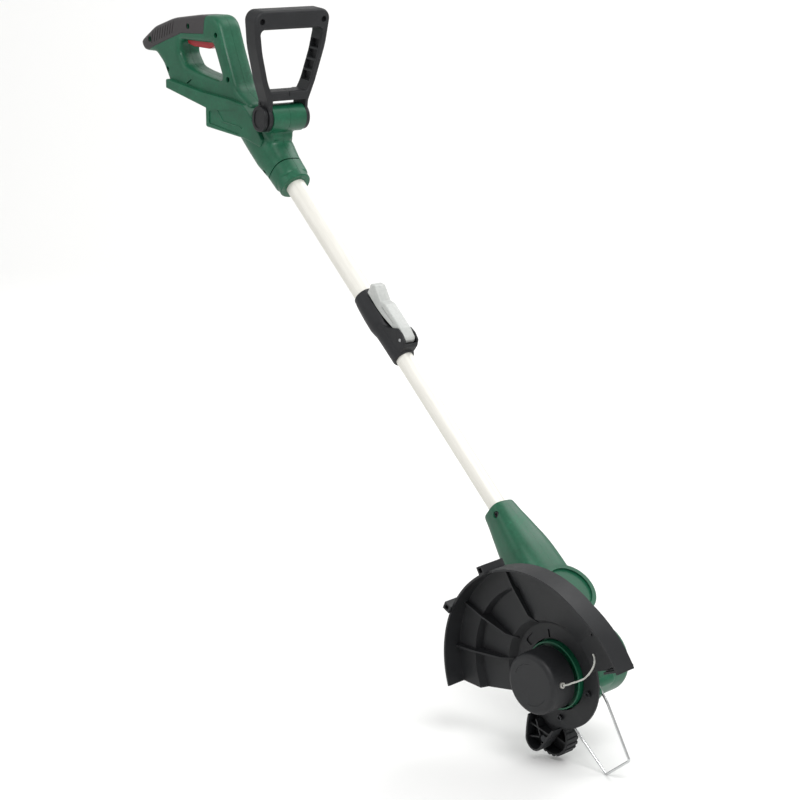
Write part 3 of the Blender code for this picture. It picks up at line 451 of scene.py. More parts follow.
def join_flat(bm):
    """Join the triangles of every flat face again."""
    bmesh.ops.dissolve_limit(bm, angle_limit=FLAT_ANGLE, verts=bm.verts, edges=bm.edges)


def bevelled(obj, edge_mm, steps):
    """Round the sharp edges of an object with a Bevel modifier."""
    bevel = obj.modifiers.new("rounded edges", "BEVEL")
    bevel.width = edge_mm * MM
    bevel.segments = steps
    bevel.limit_method = "ANGLE"
    bevel.angle_limit = EDGE_ANGLE
    return obj


def dress(obj, node, material, edge_mm, steps):
    """Shade a piece, give it its finish, and let it ride in the place of its solid."""
    mesh = obj.data
    mesh.name = obj.name
    mesh.shade_smooth()
    mesh.set_sharp_from_angle(angle=EDGE_ANGLE)
    if edge_mm:
        bevelled(obj, edge_mm, steps)
    obj.modifiers.new("flat faces stay flat", "WEIGHTED_NORMAL").keep_sharp = True
    mesh.materials.clear()
    mesh.materials.append(material)
    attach(obj, frame["nodes"][node]["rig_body"])
    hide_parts(node)


def rounded_copy(node, material, edge_mm):
    """A welded copy of a solid with its edges rounded, which replaces it."""
    mesh = welded(frame["nodes"][node].data.copy(), WELD, join_flat)
    dress(placed(node + "_skin", mesh), node, material, edge_mm, 2)


print("helpers for copies ready")

# %% [markdown]
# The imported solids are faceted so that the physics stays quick. For the eye, the parts that show
# most are made again as fine surfaces, in the same millimetres as their solids. A turned shape is
# a profile of radius and height on a grid of angles. A moulded block is a flat outline with
# thickness and a rounded edge. Cutters then carve holes and slots with Boolean modifiers, which
# are applied at once, because the finished mesh is what gets exported.

# %% Grid surfaces


def face_outwards(bm):
    """Turn every face of a closed mesh outwards."""
    bmesh.ops.recalc_face_normals(bm, faces=bm.faces)


def mesh_piece(name, vertices, faces):
    """A new object from arrays in millimetres, with doubles merged and faces turned outwards."""
    mesh = bpy.data.meshes.new(name)
    mesh.from_pydata((np.asarray(vertices, float) * MM).tolist(), [], faces)
    return placed(name, welded(mesh, WELD, face_outwards))


def grid_faces(rows, columns, closed_rows=False):
    """Quads between neighbours of a grid; its columns always close, and its rows if asked."""
    index = np.arange(rows * columns).reshape(rows, columns)
    if closed_rows:
        index = np.vstack([index, index[:1]])
    index = np.hstack([index, index[:, :1]])
    quads = np.stack([index[:-1, :-1], index[1:, :-1], index[1:, 1:], index[:-1, 1:]], axis=-1)
    return quads.reshape(-1, 4).tolist()


def lathe(name, profile, sides=96, closed=False):
    """Each (radius, height) of a profile goes round Z: x = r cos a, y = r sin a, z = height."""
    profile = np.asarray(profile, float)
    angle = np.linspace(0, 2 * math.pi, sides, endpoint=False)
    r, z = profile[:, :1], profile[:, 1:]
    heights = np.broadcast_to(z, (len(profile), sides))
    points = np.stack([r * np.cos(angle), r * np.sin(angle), heights], axis=-1)
    return mesh_piece(name, points.reshape(-1, 3), grid_faces(len(profile), sides, closed))


def rod(name, start, end, radius, sides=48):
    """A round bar between two points: a lathe of its half section, turned to lie along them."""
    start, end = Vector(start), Vector(end)
    length = (end - start).length
    bar = lathe(name, [(0, length), (radius, length), (radius, 0), (0, 0)], sides)
    turn = (end - start).to_track_quat("Z", "Y").to_matrix().to_4x4()
    bar.data.transform(Matrix.Translation(start * MM) @ turn)
    return bar


def cross_rod(name, at, start, end, radius, sides=48):
    """A round bar along Y through the point (x, z)."""
    return rod(name, (at[0], start, at[1]), (at[0], end, at[1]), radius, sides)


def upright_rod(name, at, low, high, radius, sides=48):
    """A round bar along Z through the point (x, y)."""
    return rod(name, (*at, low), (*at, high), radius, sides)


def block(name, low, high):
    """A box between two corners."""
    corners = [[x, y, z] for x in (low[0], high[0]) for y in (low[1], high[1]) for z in (low[2], high[2])]
    return mesh_piece(name, corners, [(0, 1, 3, 2), (4, 6, 7, 5), (0, 4, 5, 1), (2, 3, 7, 6), (0, 2, 6, 4),
                                      (1, 5, 7, 3)])


def loft(name, rings):
    """Rings of the same count, one above the other, closed by a flat face at each end."""
    rings = np.asarray(rings, float)
    rows, columns = rings.shape[:2]
    faces = grid_faces(rows, columns)
    faces += [list(range(columns))[::-1], list(range((rows - 1) * columns, rows * columns))]
    return mesh_piece(name, rings.reshape(-1, 3), faces)


def squircle(half_x, half_y, z, power=3.4, count=96):
    """x = hx |cos a|^(2/p), y = hy |sin a|^(2/p), signed: a square that rounds as p falls to 2."""
    a = np.linspace(0, 2 * math.pi, count, endpoint=False)
    x = half_x * np.sign(np.cos(a)) * np.abs(np.cos(a)) ** (2 / power)
    y = half_y * np.sign(np.sin(a)) * np.abs(np.sin(a)) ** (2 / power)
    return np.column_stack([x, y, np.full(count, z)])


print("grid surfaces ready")

# %% [markdown]
# A flat outline is a list of corners, and a third number turns a corner into an arc of that
# radius. The arc's centre lies on the corner's bisector, at radius / sin(half the angle). A flat
# curve with a bevel then gives the outline its thickness and its rounded rim, holes included.

# %% Outlines and plates
FINEST = 8


def rounded(corners):
    """The corners with their radii as arcs, one side for each FINEST degrees."""
    result = []
    for i, corner in enumerate(corners):
        here = np.array(corner[:2], float)
        if len(corner) == 2:
            result.append(here[None])
            continue
        before = np.array(corners[i - 1][:2]) - here
        after = np.array(corners[(i + 1) % len(corners)][:2]) - here
        before, after = before / np.linalg.norm(before), after / np.linalg.norm(after)
        half = math.acos(np.clip(before @ after, -1, 1)) / 2
        bisector = (before + after) / np.linalg.norm(before + after)
        centre = here + bisector * corner[2] / math.sin(half)
        reach = corner[2] / math.tan(half)
        first, last = here + before * reach - centre, here + after * reach - centre
        share = np.linspace(0, 1, max(2, round((180 - math.degrees(2 * half)) / FINEST) + 1))[:, None]
        arc = first * (1 - share) + last * share
        result.append(centre + arc / np.linalg.norm(arc, axis=1)[:, None] * corner[2])
    return np.vstack(result)


def oblong(low, high, radius):
    """A rectangle between two corners, its own corners rounded."""
    (left, bottom), (right, top) = low, high
    return [(left, bottom, radius), (right, bottom, radius), (right, top, radius), (left, top, radius)]


def evaluated(obj, distance):
    """A welded mesh of what an object looks like with its modifiers."""
    bpy.context.view_layer.update()
    graph = bpy.context.evaluated_depsgraph_get()
    return welded(bpy.data.meshes.new_from_object(obj.evaluated_get(graph)), distance)


def as_mesh(obj):
    """An object's evaluated mesh in place of the object."""
    mesh, name = evaluated(obj, WELD), obj.name
    bpy.data.objects.remove(obj, do_unlink=True)
    return placed(name, mesh)


PLANES = {"XY": Matrix.Identity(4), "XZ": Matrix.Rotation(math.radians(90), 4, "X"),
          "YZ": Matrix(((0, 0, 1, 0), (1, 0, 0, 0), (0, 1, 0, 0), (0, 0, 0, 1)))}
ACROSS = {"XY": (0, 0, 1), "XZ": (0, 1, 0), "YZ": (1, 0, 0)}


def plate(name, outlines, depth, plane="XZ", middle=0, edge=0, shrink=0, edge_steps=3):
    """Outlines, the first one the rim and the others holes, made thick across a plane."""
    obj = curve_object(name, [rounded(outline) for outline in outlines], "2D")
    curve = obj.data
    curve.fill_mode = "BOTH"
    curve.extrude = (depth / 2 - edge) * MM
    curve.bevel_depth = edge * MM
    curve.bevel_resolution = edge_steps
    curve.offset = -(edge + shrink) * MM
    obj = as_mesh(obj)
    obj.data.transform(Matrix.Translation(Vector(ACROSS[plane]) * middle * MM) @ PLANES[plane])
    return obj


def wire(name, points, radius, sides_step):
    """A round wire along points."""
    obj = curve_object(name, [points], "3D")
    obj.data.bevel_depth = radius * MM
    obj.data.bevel_resolution = sides_step
    obj.data.use_fill_caps = True
    return as_mesh(obj)


print("outlines ready")

# %% [markdown]
# A Boolean modifier joins, cuts or intersects two closed meshes. It is applied at once and its
# tool is removed, so no helper is left in the scene.

# %% Cutting and joining


def combine(obj, operation, tools):
    """Apply one Boolean for each tool, and remove the tools."""
    for tool in tools:
        modifier = obj.modifiers.new("combine", "BOOLEAN")
        modifier.operation = operation
        modifier.solver = "EXACT"
        modifier.object = tool
        mesh = evaluated(obj, FINE_WELD)
        obj.modifiers.clear()
        obj.data = mesh
        bpy.data.objects.remove(tool, do_unlink=True)
    return obj


def melted(obj, grid_mm, rounds):
    """Rebuild a body on an even voxel grid and relax it, so joints become fillets and edges radii."""
    remesh = obj.modifiers.new("even grid", "REMESH")
    remesh.mode = "VOXEL"
    remesh.voxel_size = grid_mm * MM
    relax = obj.modifiers.new("relaxed", "SMOOTH")
    relax.factor = 0.5
    relax.iterations = rounds
    return as_mesh(obj)


def join(obj, *tools):
    """Unite an object with each tool."""
    return combine(obj, "UNION", tools)


def cut(obj, *tools):
    """Cut each tool out of an object."""
    return combine(obj, "DIFFERENCE", tools)


def twin(obj, name):
    """A second object with its own copy of the mesh."""
    return placed(name, obj.data.copy())


def moved(obj, matrix):
    """Transform an object's mesh and give the object back."""
    obj.data.transform(matrix)
    return obj


def aimed(obj, angle, at=(0, 0)):
    """Turn a piece drawn along +X by an angle about Z, then move it to a point (x, y)."""
    turn = Matrix.Rotation(angle, 4, "Z")
    return moved(obj, Matrix.Translation((at[0] * MM, at[1] * MM, 0)) @ turn)


def rigid(carrier):
    """A system's matrix without its millimetre scale, as a Blender matrix."""
    matrix = carrier.copy()
    matrix[:3, :3] /= MM
    return Matrix(matrix.tolist())


def drop_slivers(bm):
    """Remove edges and faces that have no size."""
    bmesh.ops.dissolve_degenerate(bm, edges=bm.edges, dist=1e-6)


def fine(obj, carrier, material, node, edge_mm, steps=3):
    """Seat a finished surface in its system, round its edges and let it stand for its solid."""
    obj.data.transform(rigid(carrier))
    welded(obj.data, LOOSE_WELD, drop_slivers, face_outwards)
    dress(obj, node, material, edge_mm, steps)


print("cutting tools ready")

# %% [markdown]
# The tubes are plain drawn aluminium, so each is a lathe with its wall's thickness, open at both
# ends. 96 sides keep the long highlight smooth.

# %% Tubes
UPPER_TUBE_R, LOWER_TUBE_R, TUBE_WALL, TUBE_RIM = 12.5, 10.95, 1.2, 0.3
TUBES = [("upper_tube", UPPER_TUBE_R, 374, 760), ("lower_tube", LOWER_TUBE_R, 96, 620)]
for node, radius, low, high in TUBES:
    inner, edge = radius - TUBE_WALL, radius - TUBE_RIM
    wall = [(inner, high), (edge, high), (radius, high - TUBE_RIM), (radius, low + TUBE_RIM),
            (edge, low), (inner, low)]
    fine(lathe(node + "_skin", wall, closed=True), SHAFT, ANODISED, node, 0)
print("tubes made", len(TUBES))

# %% [markdown]
# The rear handle is moulded in two mirrored halves that meet on the middle plane. It is drawn
# once as a whole: the D-shaped grip, the battery seat under it, the round neck that holds the
# tube, and the thick barrel on which the front handle turns. Cutters then open the battery
# channel, the trigger's slot and the sunk screw holes, and last it is cut in two.

# %% Rear handle's outlines
GRIP_HALF, BASE_HALF, BOSS_HALF, BOSS_R = 18, 25, 24.8, 18
AUX_AT = (-528, 508)
GRIP_OUTLINE = [(-830, 586, 5), (-794, 608, 30), (-750, 621, 60), (-690, 628, 60), (-646, 629, 24),
                (-628, 585, 50), (-606, 538, 24), (-570, 518, 8), (-585, 503), (-700, 513),
                (-754, 526), (-762, 541, 4), (-774, 560, 20), (-792, 574, 12), (-820, 574, 6)]
GRIP_HOLE = [(-733, 593, 5), (-735, 577, 8), (-722, 560, 12), (-702, 555, 10), (-672, 550),
             (-634, 545, 5), (-645, 568, 30), (-657, 593, 5)]
COVER_AREA = [(-850, 570), (-818, 572), (-788, 583), (-728, 602), (-676, 604), (-670, 640), (-850, 640)]
BASE_OUTLINE = [(-757, 541, 2), (-757, 529, 1.5), (-664, 510), (-664, 486, 3), (-577, 478, 3),
                (-542, 470, 3), (-540, 480, 4), (-566, 509, 7), (-581, 520, 4), (-612, 525), (-676, 530)]
BASE_PANEL = [(-656, 507, 3), (-656, 491, 2), (-590, 482, 3), (-572, 500, 4), (-592, 514, 3)]
PANEL_LINE = [(-640, 511), (-625, 496), (-588, 492), (-576, 484)]
BOSS_WEB = [(-574, 519, 5), (-530, 514, 5), (-524, 480, 5), (-560, 466, 5)]
SCREWS = [(-648, 604), (-622, 549), (-762, 553), (-804, 590), (-712, 612), (-541, 438)]
TRIGGER_PIN, NECK_SCREW_FACE = (-724, 598), 17
SLOPE_START, BASE_SLOPE = (-757, 529), (510 - 529) / (757 - 664)
HANDLE_FROM_SHAFT = Matrix.Rotation(math.atan2(OFF_SHAFT[2], OFF_SHAFT[0]), 4, "Y").inverted()


def channel(name, depth, low, high):
    """A slot along the base's sloping underside, between two heights above it."""
    ends = np.array([-775.0, -667.0])
    under = SLOPE_START[1] + BASE_SLOPE * (ends - SLOPE_START[0])
    return plate(name, [np.vstack([np.column_stack([ends, under + low]),
                                   np.column_stack([ends, under + high])[::-1]])], depth)


print("rear handle outlines ready")

# %% Rear handle's body
COVER_WALL = 1.9
NECK_RINGS = [(23.4, 776), (24.3, 740), (24.3, 712), (21.6, 690), (20.8, 664)]


def shrunk(obj, name, wall_mm):
    """A copy of a smooth body, each point moved inwards along its normal by the wall's thickness."""
    result = twin(obj, name)
    mesh = result.data
    points, normals = np.empty(3 * len(mesh.vertices)), np.empty(3 * len(mesh.vertices))
    mesh.vertices.foreach_get("co", points)
    mesh.vertex_normals.foreach_get("vector", normals)
    mesh.vertices.foreach_set("co", points - normals * wall_mm * MM)
    mesh.update()
    return result


def in_line(obj):
    """Lean a piece drawn along the shaft the way the shaft leans in the handle's system."""
    return moved(obj, HANDLE_FROM_SHAFT)


# The D-shaped grip is a plate whose edges are melted until a palm would find them round.
grip = plate("handle_body", [GRIP_OUTLINE, GRIP_HOLE], 2 * GRIP_HALF, edge=5, edge_steps=4)
body = melted(grip, 1.4, 46)
core = shrunk(body, "core", COVER_WALL)
cover_core = twin(core, "cover_core")
stem = in_line(loft("stem", [squircle(r, r, z, 2.7) for r, z in NECK_RINGS]))
join(stem, plate("web", [BOSS_WEB], 32, edge=4),
     cross_rod("boss", AUX_AT, -BOSS_HALF, BOSS_HALF, BOSS_R - 0.2, 96))
join(body, melted(stem, 1.3, 30), cross_rod("boss", AUX_AT, -BOSS_HALF, BOSS_HALF, BOSS_R, 96))
print("handle body has", len(body.data.vertices), "points")

# %% Rear handle's shells
COLLAR_RING = [(0, 684), (20.9, 684), (20.9, 657.5), (19.6, 656), (0, 656)]
COLLAR_GROOVE = [(19.5, 683.4), (30, 683.4), (30, 685), (19.5, 685)]
BASE_SLIT = [(-717, 538), (-707, 543.5), (-704, 543.5), (-714, 536.5)]
LOCK_AT, LEG_ROOM_R, SCREW_SINK_R, SHELL_GAP = (-668, 606), 19, 3.6, 0.15
shell = twin(body, "handle_shell")
join(shell, plate("base", [BASE_OUTLINE], 2 * BASE_HALF, edge=2), in_line(lathe("collar", COLLAR_RING)))
cut(shell, in_line(lathe("groove", COLLAR_GROOVE, closed=True)),
    cut(plate("cover_seat", [COVER_AREA], 80), core),
    channel("channel", 38, -6, 9), channel("grooves", 45, 3.5, 6.5))
for side in (-1, 1):
    cut(shell, plate("panel", [BASE_PANEL], 4, middle=side * (BASE_HALF + 0.8)),
        cross_rod("leg_room", AUX_AT, side * (BOSS_HALF + 0.2), side * 60, LEG_ROOM_R, 96),
        cross_rod("aux_bore", AUX_AT, side * 2, side * 30, 3.4))
    join(shell, wire("panel_line", [(x, side * (BASE_HALF - 1.1), z) for x, z in PANEL_LINE], 0.8, 2))
cut(shell, in_line(upright_rod("tube_bore", (0, 0), 640, 760.5, UPPER_TUBE_R + 0.35, 96)),
    block("trigger_slot", (-731, -7.6, 584), (-660, 7.6, 612)), cross_rod("lock_hole", LOCK_AT, 5, 30, 5.4),
    block("terminal_slot", (-670, -15, 487.6), (-650, 15, 503.4)), plate("slit", [BASE_SLIT], 8, middle=-20))
for x, z in SCREWS:
    face = NECK_SCREW_FACE if z < 500 else GRIP_HALF
    cut(shell, cross_rod("sink", (x, z), -40, 7 - face, SCREW_SINK_R))
for side, name, node in ((1, "handle_left_skin", "handle_shell_left"),
                         (-1, "handle_right_skin", "handle_shell_right")):
    low, high = (-50, SHELL_GAP) if side > 0 else (-SHELL_GAP, 50)
    half = cut(twin(shell, name), block("other_half", (-900, low, 380), (-400, high, 680)))
    fine(half, HANDLE, GREEN_ABS, node, 0.7)
bpy.data.objects.remove(shell, do_unlink=True)
print("rear handle halves made")

# %% [markdown]
# The soft cover is the same grip, kept only where the palm lies, less a core that is 1.9 mm
# smaller all round. Short slanting grooves near its rear end keep the palm from sliding.

# %% Soft grip cover
GROOVES, GROOVE_WIDTH, GROOVE_DEPTH = 9, 1.4, 0.9
GROOVE_START, GROOVE_STEP = (-800, 588), (6.2, 2.0)
COVER_GAP, COVER_SINK_R = 0.35, 4.0
body.name = "grip_cover_skin"
cover = cut(body, cover_core)
combine(cover, "INTERSECT", [plate("area", [COVER_AREA], 80, shrink=COVER_GAP)])
for screw in SCREWS[3:5]:
    cut(cover, cross_rod("sink", screw, -40, -10, COVER_SINK_R))
for k in range(GROOVES):
    x, z = (start + step * k for start, step in zip(GROOVE_START, GROOVE_STEP))
    groove = [(x, z - 3), (x + GROOVE_WIDTH, z - 3), (x + GROOVE_WIDTH + 4, z + 13), (x + 4, z + 13)]
    for side in (-1, 1):
        cut(cover, plate("groove", [groove], 4, middle=side * (GRIP_HALF + 2 - GROOVE_DEPTH)))
fine(cover, HANDLE, SOFT_TPE, "grip_cover", 0.35)
print("soft cover with", GROOVES, "grooves a side")

# %% [markdown]
# The trigger is a small plate on its pin, with edges rounded far enough for a finger.

# %% Trigger
TRIGGER_OUTLINE = [(-729.5, 602, 2), (-729.5, 588, 3), (-716, 585, 8), (-680, 584, 8), (-664, 590, 6),
                   (-662, 604, 3)]
trigger = plate("trigger_skin", [TRIGGER_OUTLINE], 14, edge=2.2, edge_steps=5)
cut(trigger, cross_rod("pin_hole", TRIGGER_PIN, -20, 20, 2.3))
fine(trigger, HANDLE, RED_ABS, "trigger", 0.2)
print("trigger made")

# %% [markdown]
# The front handle is one arch: a round-edged crossbar with two legs that end in eyes on the
# barrel of the rear handle. The legs are hollow channels with cross ribs on their inner side.

# %% Front handle
AUX_HALF, AUX_TOP, AUX_DEPTH, EYE_IN, EYE_OUT = 59, 137, 26, 25.3, 31
AUX_RIM = [(EYE_OUT, -6, 5), (EYE_OUT, 22, 8), (40, 46, 40), (53, 92, 60), (AUX_HALF, AUX_TOP, 13)]
AUX_GAP = [(27, 35.5, 2), (32.5, 47, 40), (43, 84, 60), (48, 113, 6)]
POCKETS, POCKET_LOW, POCKET_PITCH, POCKET_TALL = 4, 46, 13.5, 11
POCKET_REACH, POCKET_SPLAY, END_SCREW = 32.9, 3.85, (47, 124)
KNOB_MIDDLE, KNOB_DEPTH, KNOB_FACE = -34.2, 5.5, -37


def both_sides(points):
    """An outline's right half, followed by its mirror image."""
    return points + [(-p[0],) + tuple(p[1:]) for p in reversed(points)]


arch = plate("front_handle_skin", [both_sides(AUX_RIM), both_sides(AUX_GAP)], AUX_DEPTH, "YZ",
             edge=4, edge_steps=5)
cut(arch, plate("foot", [both_sides([(EYE_IN, -30), (EYE_IN, 24, 1)])], 40, "YZ"),
    block("split", (-20, -0.4, 29), (20, 0.4, 37)), block("underside", (-20, -20, 12), (-7, 20, 40)))
for side in (-1, 1):
    join(arch, cross_rod("eye", (0, 0), side * EYE_IN, side * EYE_OUT, 16.5, 96))
    for k in range(POCKETS):
        low, reach = POCKET_LOW + POCKET_PITCH * k, POCKET_REACH + POCKET_SPLAY * k
        cut(arch, block("pocket", (-8.5, side * reach - 6, low), (8.5, side * reach + 6, low + POCKET_TALL)))
    out, up = END_SCREW
    cut(arch, rod("sink", (8, side * out, up), (40, side * out, up), 3.8),
        block("slot", (-7, side * 33.2 - 3, 16), (7, side * 33.2 + 3, 20)))
cut(arch, cross_rod("bolt_hole", (0, 0), -60, 60, 3.4))
fine(arch, AUX, BLACK_NYLON, "aux_handle", 0.35, 2)
knob = plate("front_knob_skin", [oblong((-14, -16), (14, 16), 12.5)], KNOB_DEPTH,
             middle=KNOB_MIDDLE, edge=1.4)
cut(knob, plate("face", [oblong((-9.5, -11.5), (9.5, 11.5), 9)], 2, middle=KNOB_FACE),
    cross_rod("nut", (0, 0), -34.5, -20, 3.3))
fine(knob, AUX, DARK_NYLON, "aux_knob", 0.3)
print("front handle made")

# %% [markdown]
# The neck is a lofted body: rounded squares of changing size, one above the other. The sizes
# between the named sections come from the same Catmull-Rom curve as the line's route, so the
# flanks flow without a kink. The tilt disc closes its lower end.

# %% Neck
NECK_SECTIONS = [(138, 16, 15.5), (135.5, 18, 17), (122, 20.5, 18.5), (100, 25, 21.5), (70, 30.5, 25),
                 (35, 32, 26.5), (5, 32, 26.5)]
NECK_SCREW, INNER_FLANK, SEAM_GAP = (9.7, 125), 0.86, 0.04
DISC_R, DISC_HALF, TONGUE_HALF, TONGUE_R, TILT_BOLT_R, TONGUE_GAP = 33.2, 28.7, 13, 30, 4.35, 0.35


def halves(body, low, high, pieces, carrier, edge_mm):
    """Round a body's edges, then cut it on its middle plane into its two moulded halves."""
    body = as_mesh(bevelled(body, edge_mm, 2))
    for (name, node), first_y, last_y in zip(pieces, (low[1], -SEAM_GAP), (SEAM_GAP, high[1])):
        other = block("other_half", (low[0], first_y, low[2]), (high[0], last_y, high[2]))
        fine(cut(twin(body, name), other), carrier, GREEN_ABS, node, 0)
    bpy.data.objects.remove(body, do_unlink=True)


sections = catmull(NECK_SECTIONS, 5)
rings = np.array([squircle(thick, wide, z) for z, wide, thick in sections])
rings[:, :, 1] *= np.where(rings[:, :, 1] > 0, INNER_FLANK, 1)
neck = loft("neck", rings)
join(neck, rod("disc", (-DISC_HALF, 0, 0), (DISC_HALF, 0, 0), DISC_R, 128))
for side in (-1, 1):
    cut(neck, rod("recess", (side * (DISC_HALF - 2.6), 0, 0), (side * 40, 0, 0), DISC_R - 5, 128))
    join(neck, rod("boss", (side * (DISC_HALF - 4), 0, 0), (side * (DISC_HALF - 0.6), 0, 0), 11, 64))
room = TONGUE_HALF + TONGUE_GAP
cut(neck, rod("knuckle_room", (-room, 0, 0), (room, 0, 0), TONGUE_R + 1, 128),
    block("arm_room", (-room, -50, -50), (room, 50, -6)),
    rod("bolt_bore", (-60, 0, 0), (60, 0, 0), TILT_BOLT_R),
    upright_rod("tube_bore", (0, 0), 95, 200, 11.35, 96),
    rod("button_hole", (-60, 0, 62), (-16, 0, 62), 8.4),
    cross_rod("sink", NECK_SCREW, -40, -14.6, 4.0))
for k in range(4):
    y, z = 30.5 - 0.9 * k, 72 + 13 * k
    cut(neck, rod("notch", (32, y, z), (6, y, z), 4.6))
halves(neck, (-60, -60, -60), (60, 60, 170),
       [("neck_left_skin", "neck_shell_left"), ("neck_right_skin", "neck_shell_right")], SHAFT, 0.8)
print("neck made of", len(sections), "sections")

# %% [markdown]
# The motor housing is a turned barrel with a tongue that reaches up into the tilt joint. Its foot
# carries the wire guard's hinge, and three slots a side let the motor's warm air out.

# %% Motor housing
BARREL_R, TILT_PIVOT = 40, (-77.9, -72.3)
WIRE_PLANE, WIRE_TURN, HINGE_REACH, WIRE_HOLE_R = -20, -12.7, 20, 1.95
VENTS, VENT_TOP, VENT_PITCH, VENT_OUT, VENT_THICK = 3, -43.7, 7, 45, 2.6


def around(radius, angle):
    """A point (x, y) at a radius and an angle about the spool, from its user side towards +Y."""
    a = math.radians(angle)
    return (-radius * math.cos(a), radius * math.sin(a))


GUARD_SCREWS = [around(50, -136), around(50, 152)]


def facing(obj, angle):
    """Turn a piece drawn along +X until it points at an angle about the spool."""
    return aimed(obj, math.radians(180 - angle))


def wire_point(along, across, height=WIRE_PLANE):
    """A point of the wire guard: along its own axis, across it, and out along the spool axis."""
    a = math.radians(WIRE_TURN)
    return (along * math.cos(a) - across * math.sin(a),
            along * math.sin(a) + across * math.cos(a), height)


def arc_profile(centre, radius, start, end, steps=6):
    """Profile points on an arc: r = cr + R cos a, z = cz + R sin a."""
    a = np.radians(np.linspace(start, end, steps))
    return [(centre[0] + radius * math.cos(t), centre[1] + radius * math.sin(t)) for t in a]


FOOT_OUTLINE = [(10, -24, 3), (40.2, -24, 8), (40.2, 24, 8), (10, 24, 3)]
HOUSING_PROFILE = [(0, -12.4), (46, -12.4), (46, -16.4), (45.4, -17), (38, -17.6), (37, -18.6), (37, -26.5),
                   (37.8, -28), (BARREL_R - 0.6, -30)]
HOUSING_PROFILE += arc_profile((BARREL_R - 1.5, -31.5), 1.5, 45, 0, 3)
HOUSING_PROFILE += arc_profile((BARREL_R - 11, -74), 11, 0, -90, 10) + [(0, -85)]
barrel = lathe("housing", HOUSING_PROFILE)
tongue = cross_rod("tongue", TILT_PIVOT, -TONGUE_HALF, TONGUE_HALF, TONGUE_R, 128)
join(tongue, block("arm", (TILT_PIVOT[0] + 6, 0.3 - TONGUE_HALF, -83), (-30, TONGUE_HALF - 0.3, -46)))
join(barrel, tongue, plate("foot", [FOOT_OUTLINE], 39, "XY", -32.5, edge=2))
for screw in GUARD_SCREWS:
    join(barrel, upright_rod("lug", screw, -17.2, -12.6, 6))
cut(barrel, upright_rod("motor_room", (0, 0), -78, -22, 20.6, 96),
    upright_rod("shaft_bore", (0, 0), -23, 0, 3.2),
    cross_rod("bolt_bore", TILT_PIVOT, -60, 60, TILT_BOLT_R))
for side in (-1, 1):
    hinge = [wire_point(HINGE_REACH, side * out) for out in (23, 50)]
    cut(barrel, rod("wire_hole", *hinge, WIRE_HOLE_R))
    for k in range(VENTS):
        vent = plate("vent", [oblong((6, -12), (30, 12), 1.2)], VENT_THICK, "XY", VENT_TOP - VENT_PITCH * k)
        cut(barrel, aimed(vent, 0, (0, side * VENT_OUT)))
halves(barrel, (-130, -60, -120), (60, 60, 0), [("housing_upper_skin", "motor_housing_upper"),
                                                ("housing_lower_skin", "motor_housing_lower")], SPOOL, 0.7)
print("motor housing made")

# %% [markdown]
# The guard's section changes along its arc, so it is a loft: each ring is the same chain of
# (radius, height) points, and both the heights and the ends' angles are blended from the left end
# to the right. On the left the top is stepped in flat bands, and on the right it is one slope.

# %% Cutting guard
GUARD_R, GUARD_WALL = 133, 2.4
GUARD_TOP = [(59, -3.2), (66, 5), (104, 8), (107, 17), (129, 18.5)]
GUARD_SMOOTH_TOP = [(59, -3.2), (66, 5), (104, 15), (107, 16), (129, 22)]
GUARD_UNDER = [(108.6, 14.4, 13), (105.8, 5.6, 12.4), (66.6, 2.6, 2.6), (60, -5.2, -5.2)]
GUARD_START, GUARD_TURN_IN, GUARD_END, SMOOTH_FROM = -55, -70, 121, 28
RIB_ANGLES, LUG_ANGLES, TOOTH_ANGLES = (-36, -10, 28), (-12, 22), (112.75, 118.75)
RIB_OUTLINE = [(61, -4.2), (104, 5.4), (108, 15.4), (131.4, 16.8), (131.4, 25), (107, 21.5), (72, 12),
               (61, 1)]
COLLAR_SECTION = [(41.5, -3), (63, -3), (63, -5.4), (43.6, -5.4), (43.6, -12), (41.5, -12)]
WINDOW = [(44.5, -7, 2), (54, -9, 3), (54, 9, 3), (44.5, 7, 2)]


def guard_section(share):
    """One ring of the section, at a share of the way from the guard's left end to its right."""
    chain = [(r, left, right) for (r, left), (_, right) in zip(GUARD_TOP, GUARD_SMOOTH_TOP)]
    chain += [(GUARD_R - GUARD_WALL, 19, 22.5), (GUARD_R - GUARD_WALL, 42, 45), (GUARD_R, 42, 45),
              (GUARD_R, 15.8, 19)] + GUARD_UNDER
    radius, left, right = np.array(chain).T
    inward = np.clip((GUARD_R - 3 - radius) / (GUARD_R - 66), 0, 1)
    start = GUARD_START + (GUARD_TURN_IN - GUARD_START) * inward
    angle = start + (GUARD_END - start) * share
    blend = np.clip((angle - SMOOTH_FROM + 2) / 4, 0, 1)
    droop = 11 * np.clip((angle - 86) / 33, 0, None) * np.clip((radius - 66) / 40, 0, 1)
    a = np.radians(angle)
    return np.column_stack([-radius * np.cos(a), radius * np.sin(a), left + (right - left) * blend - droop])


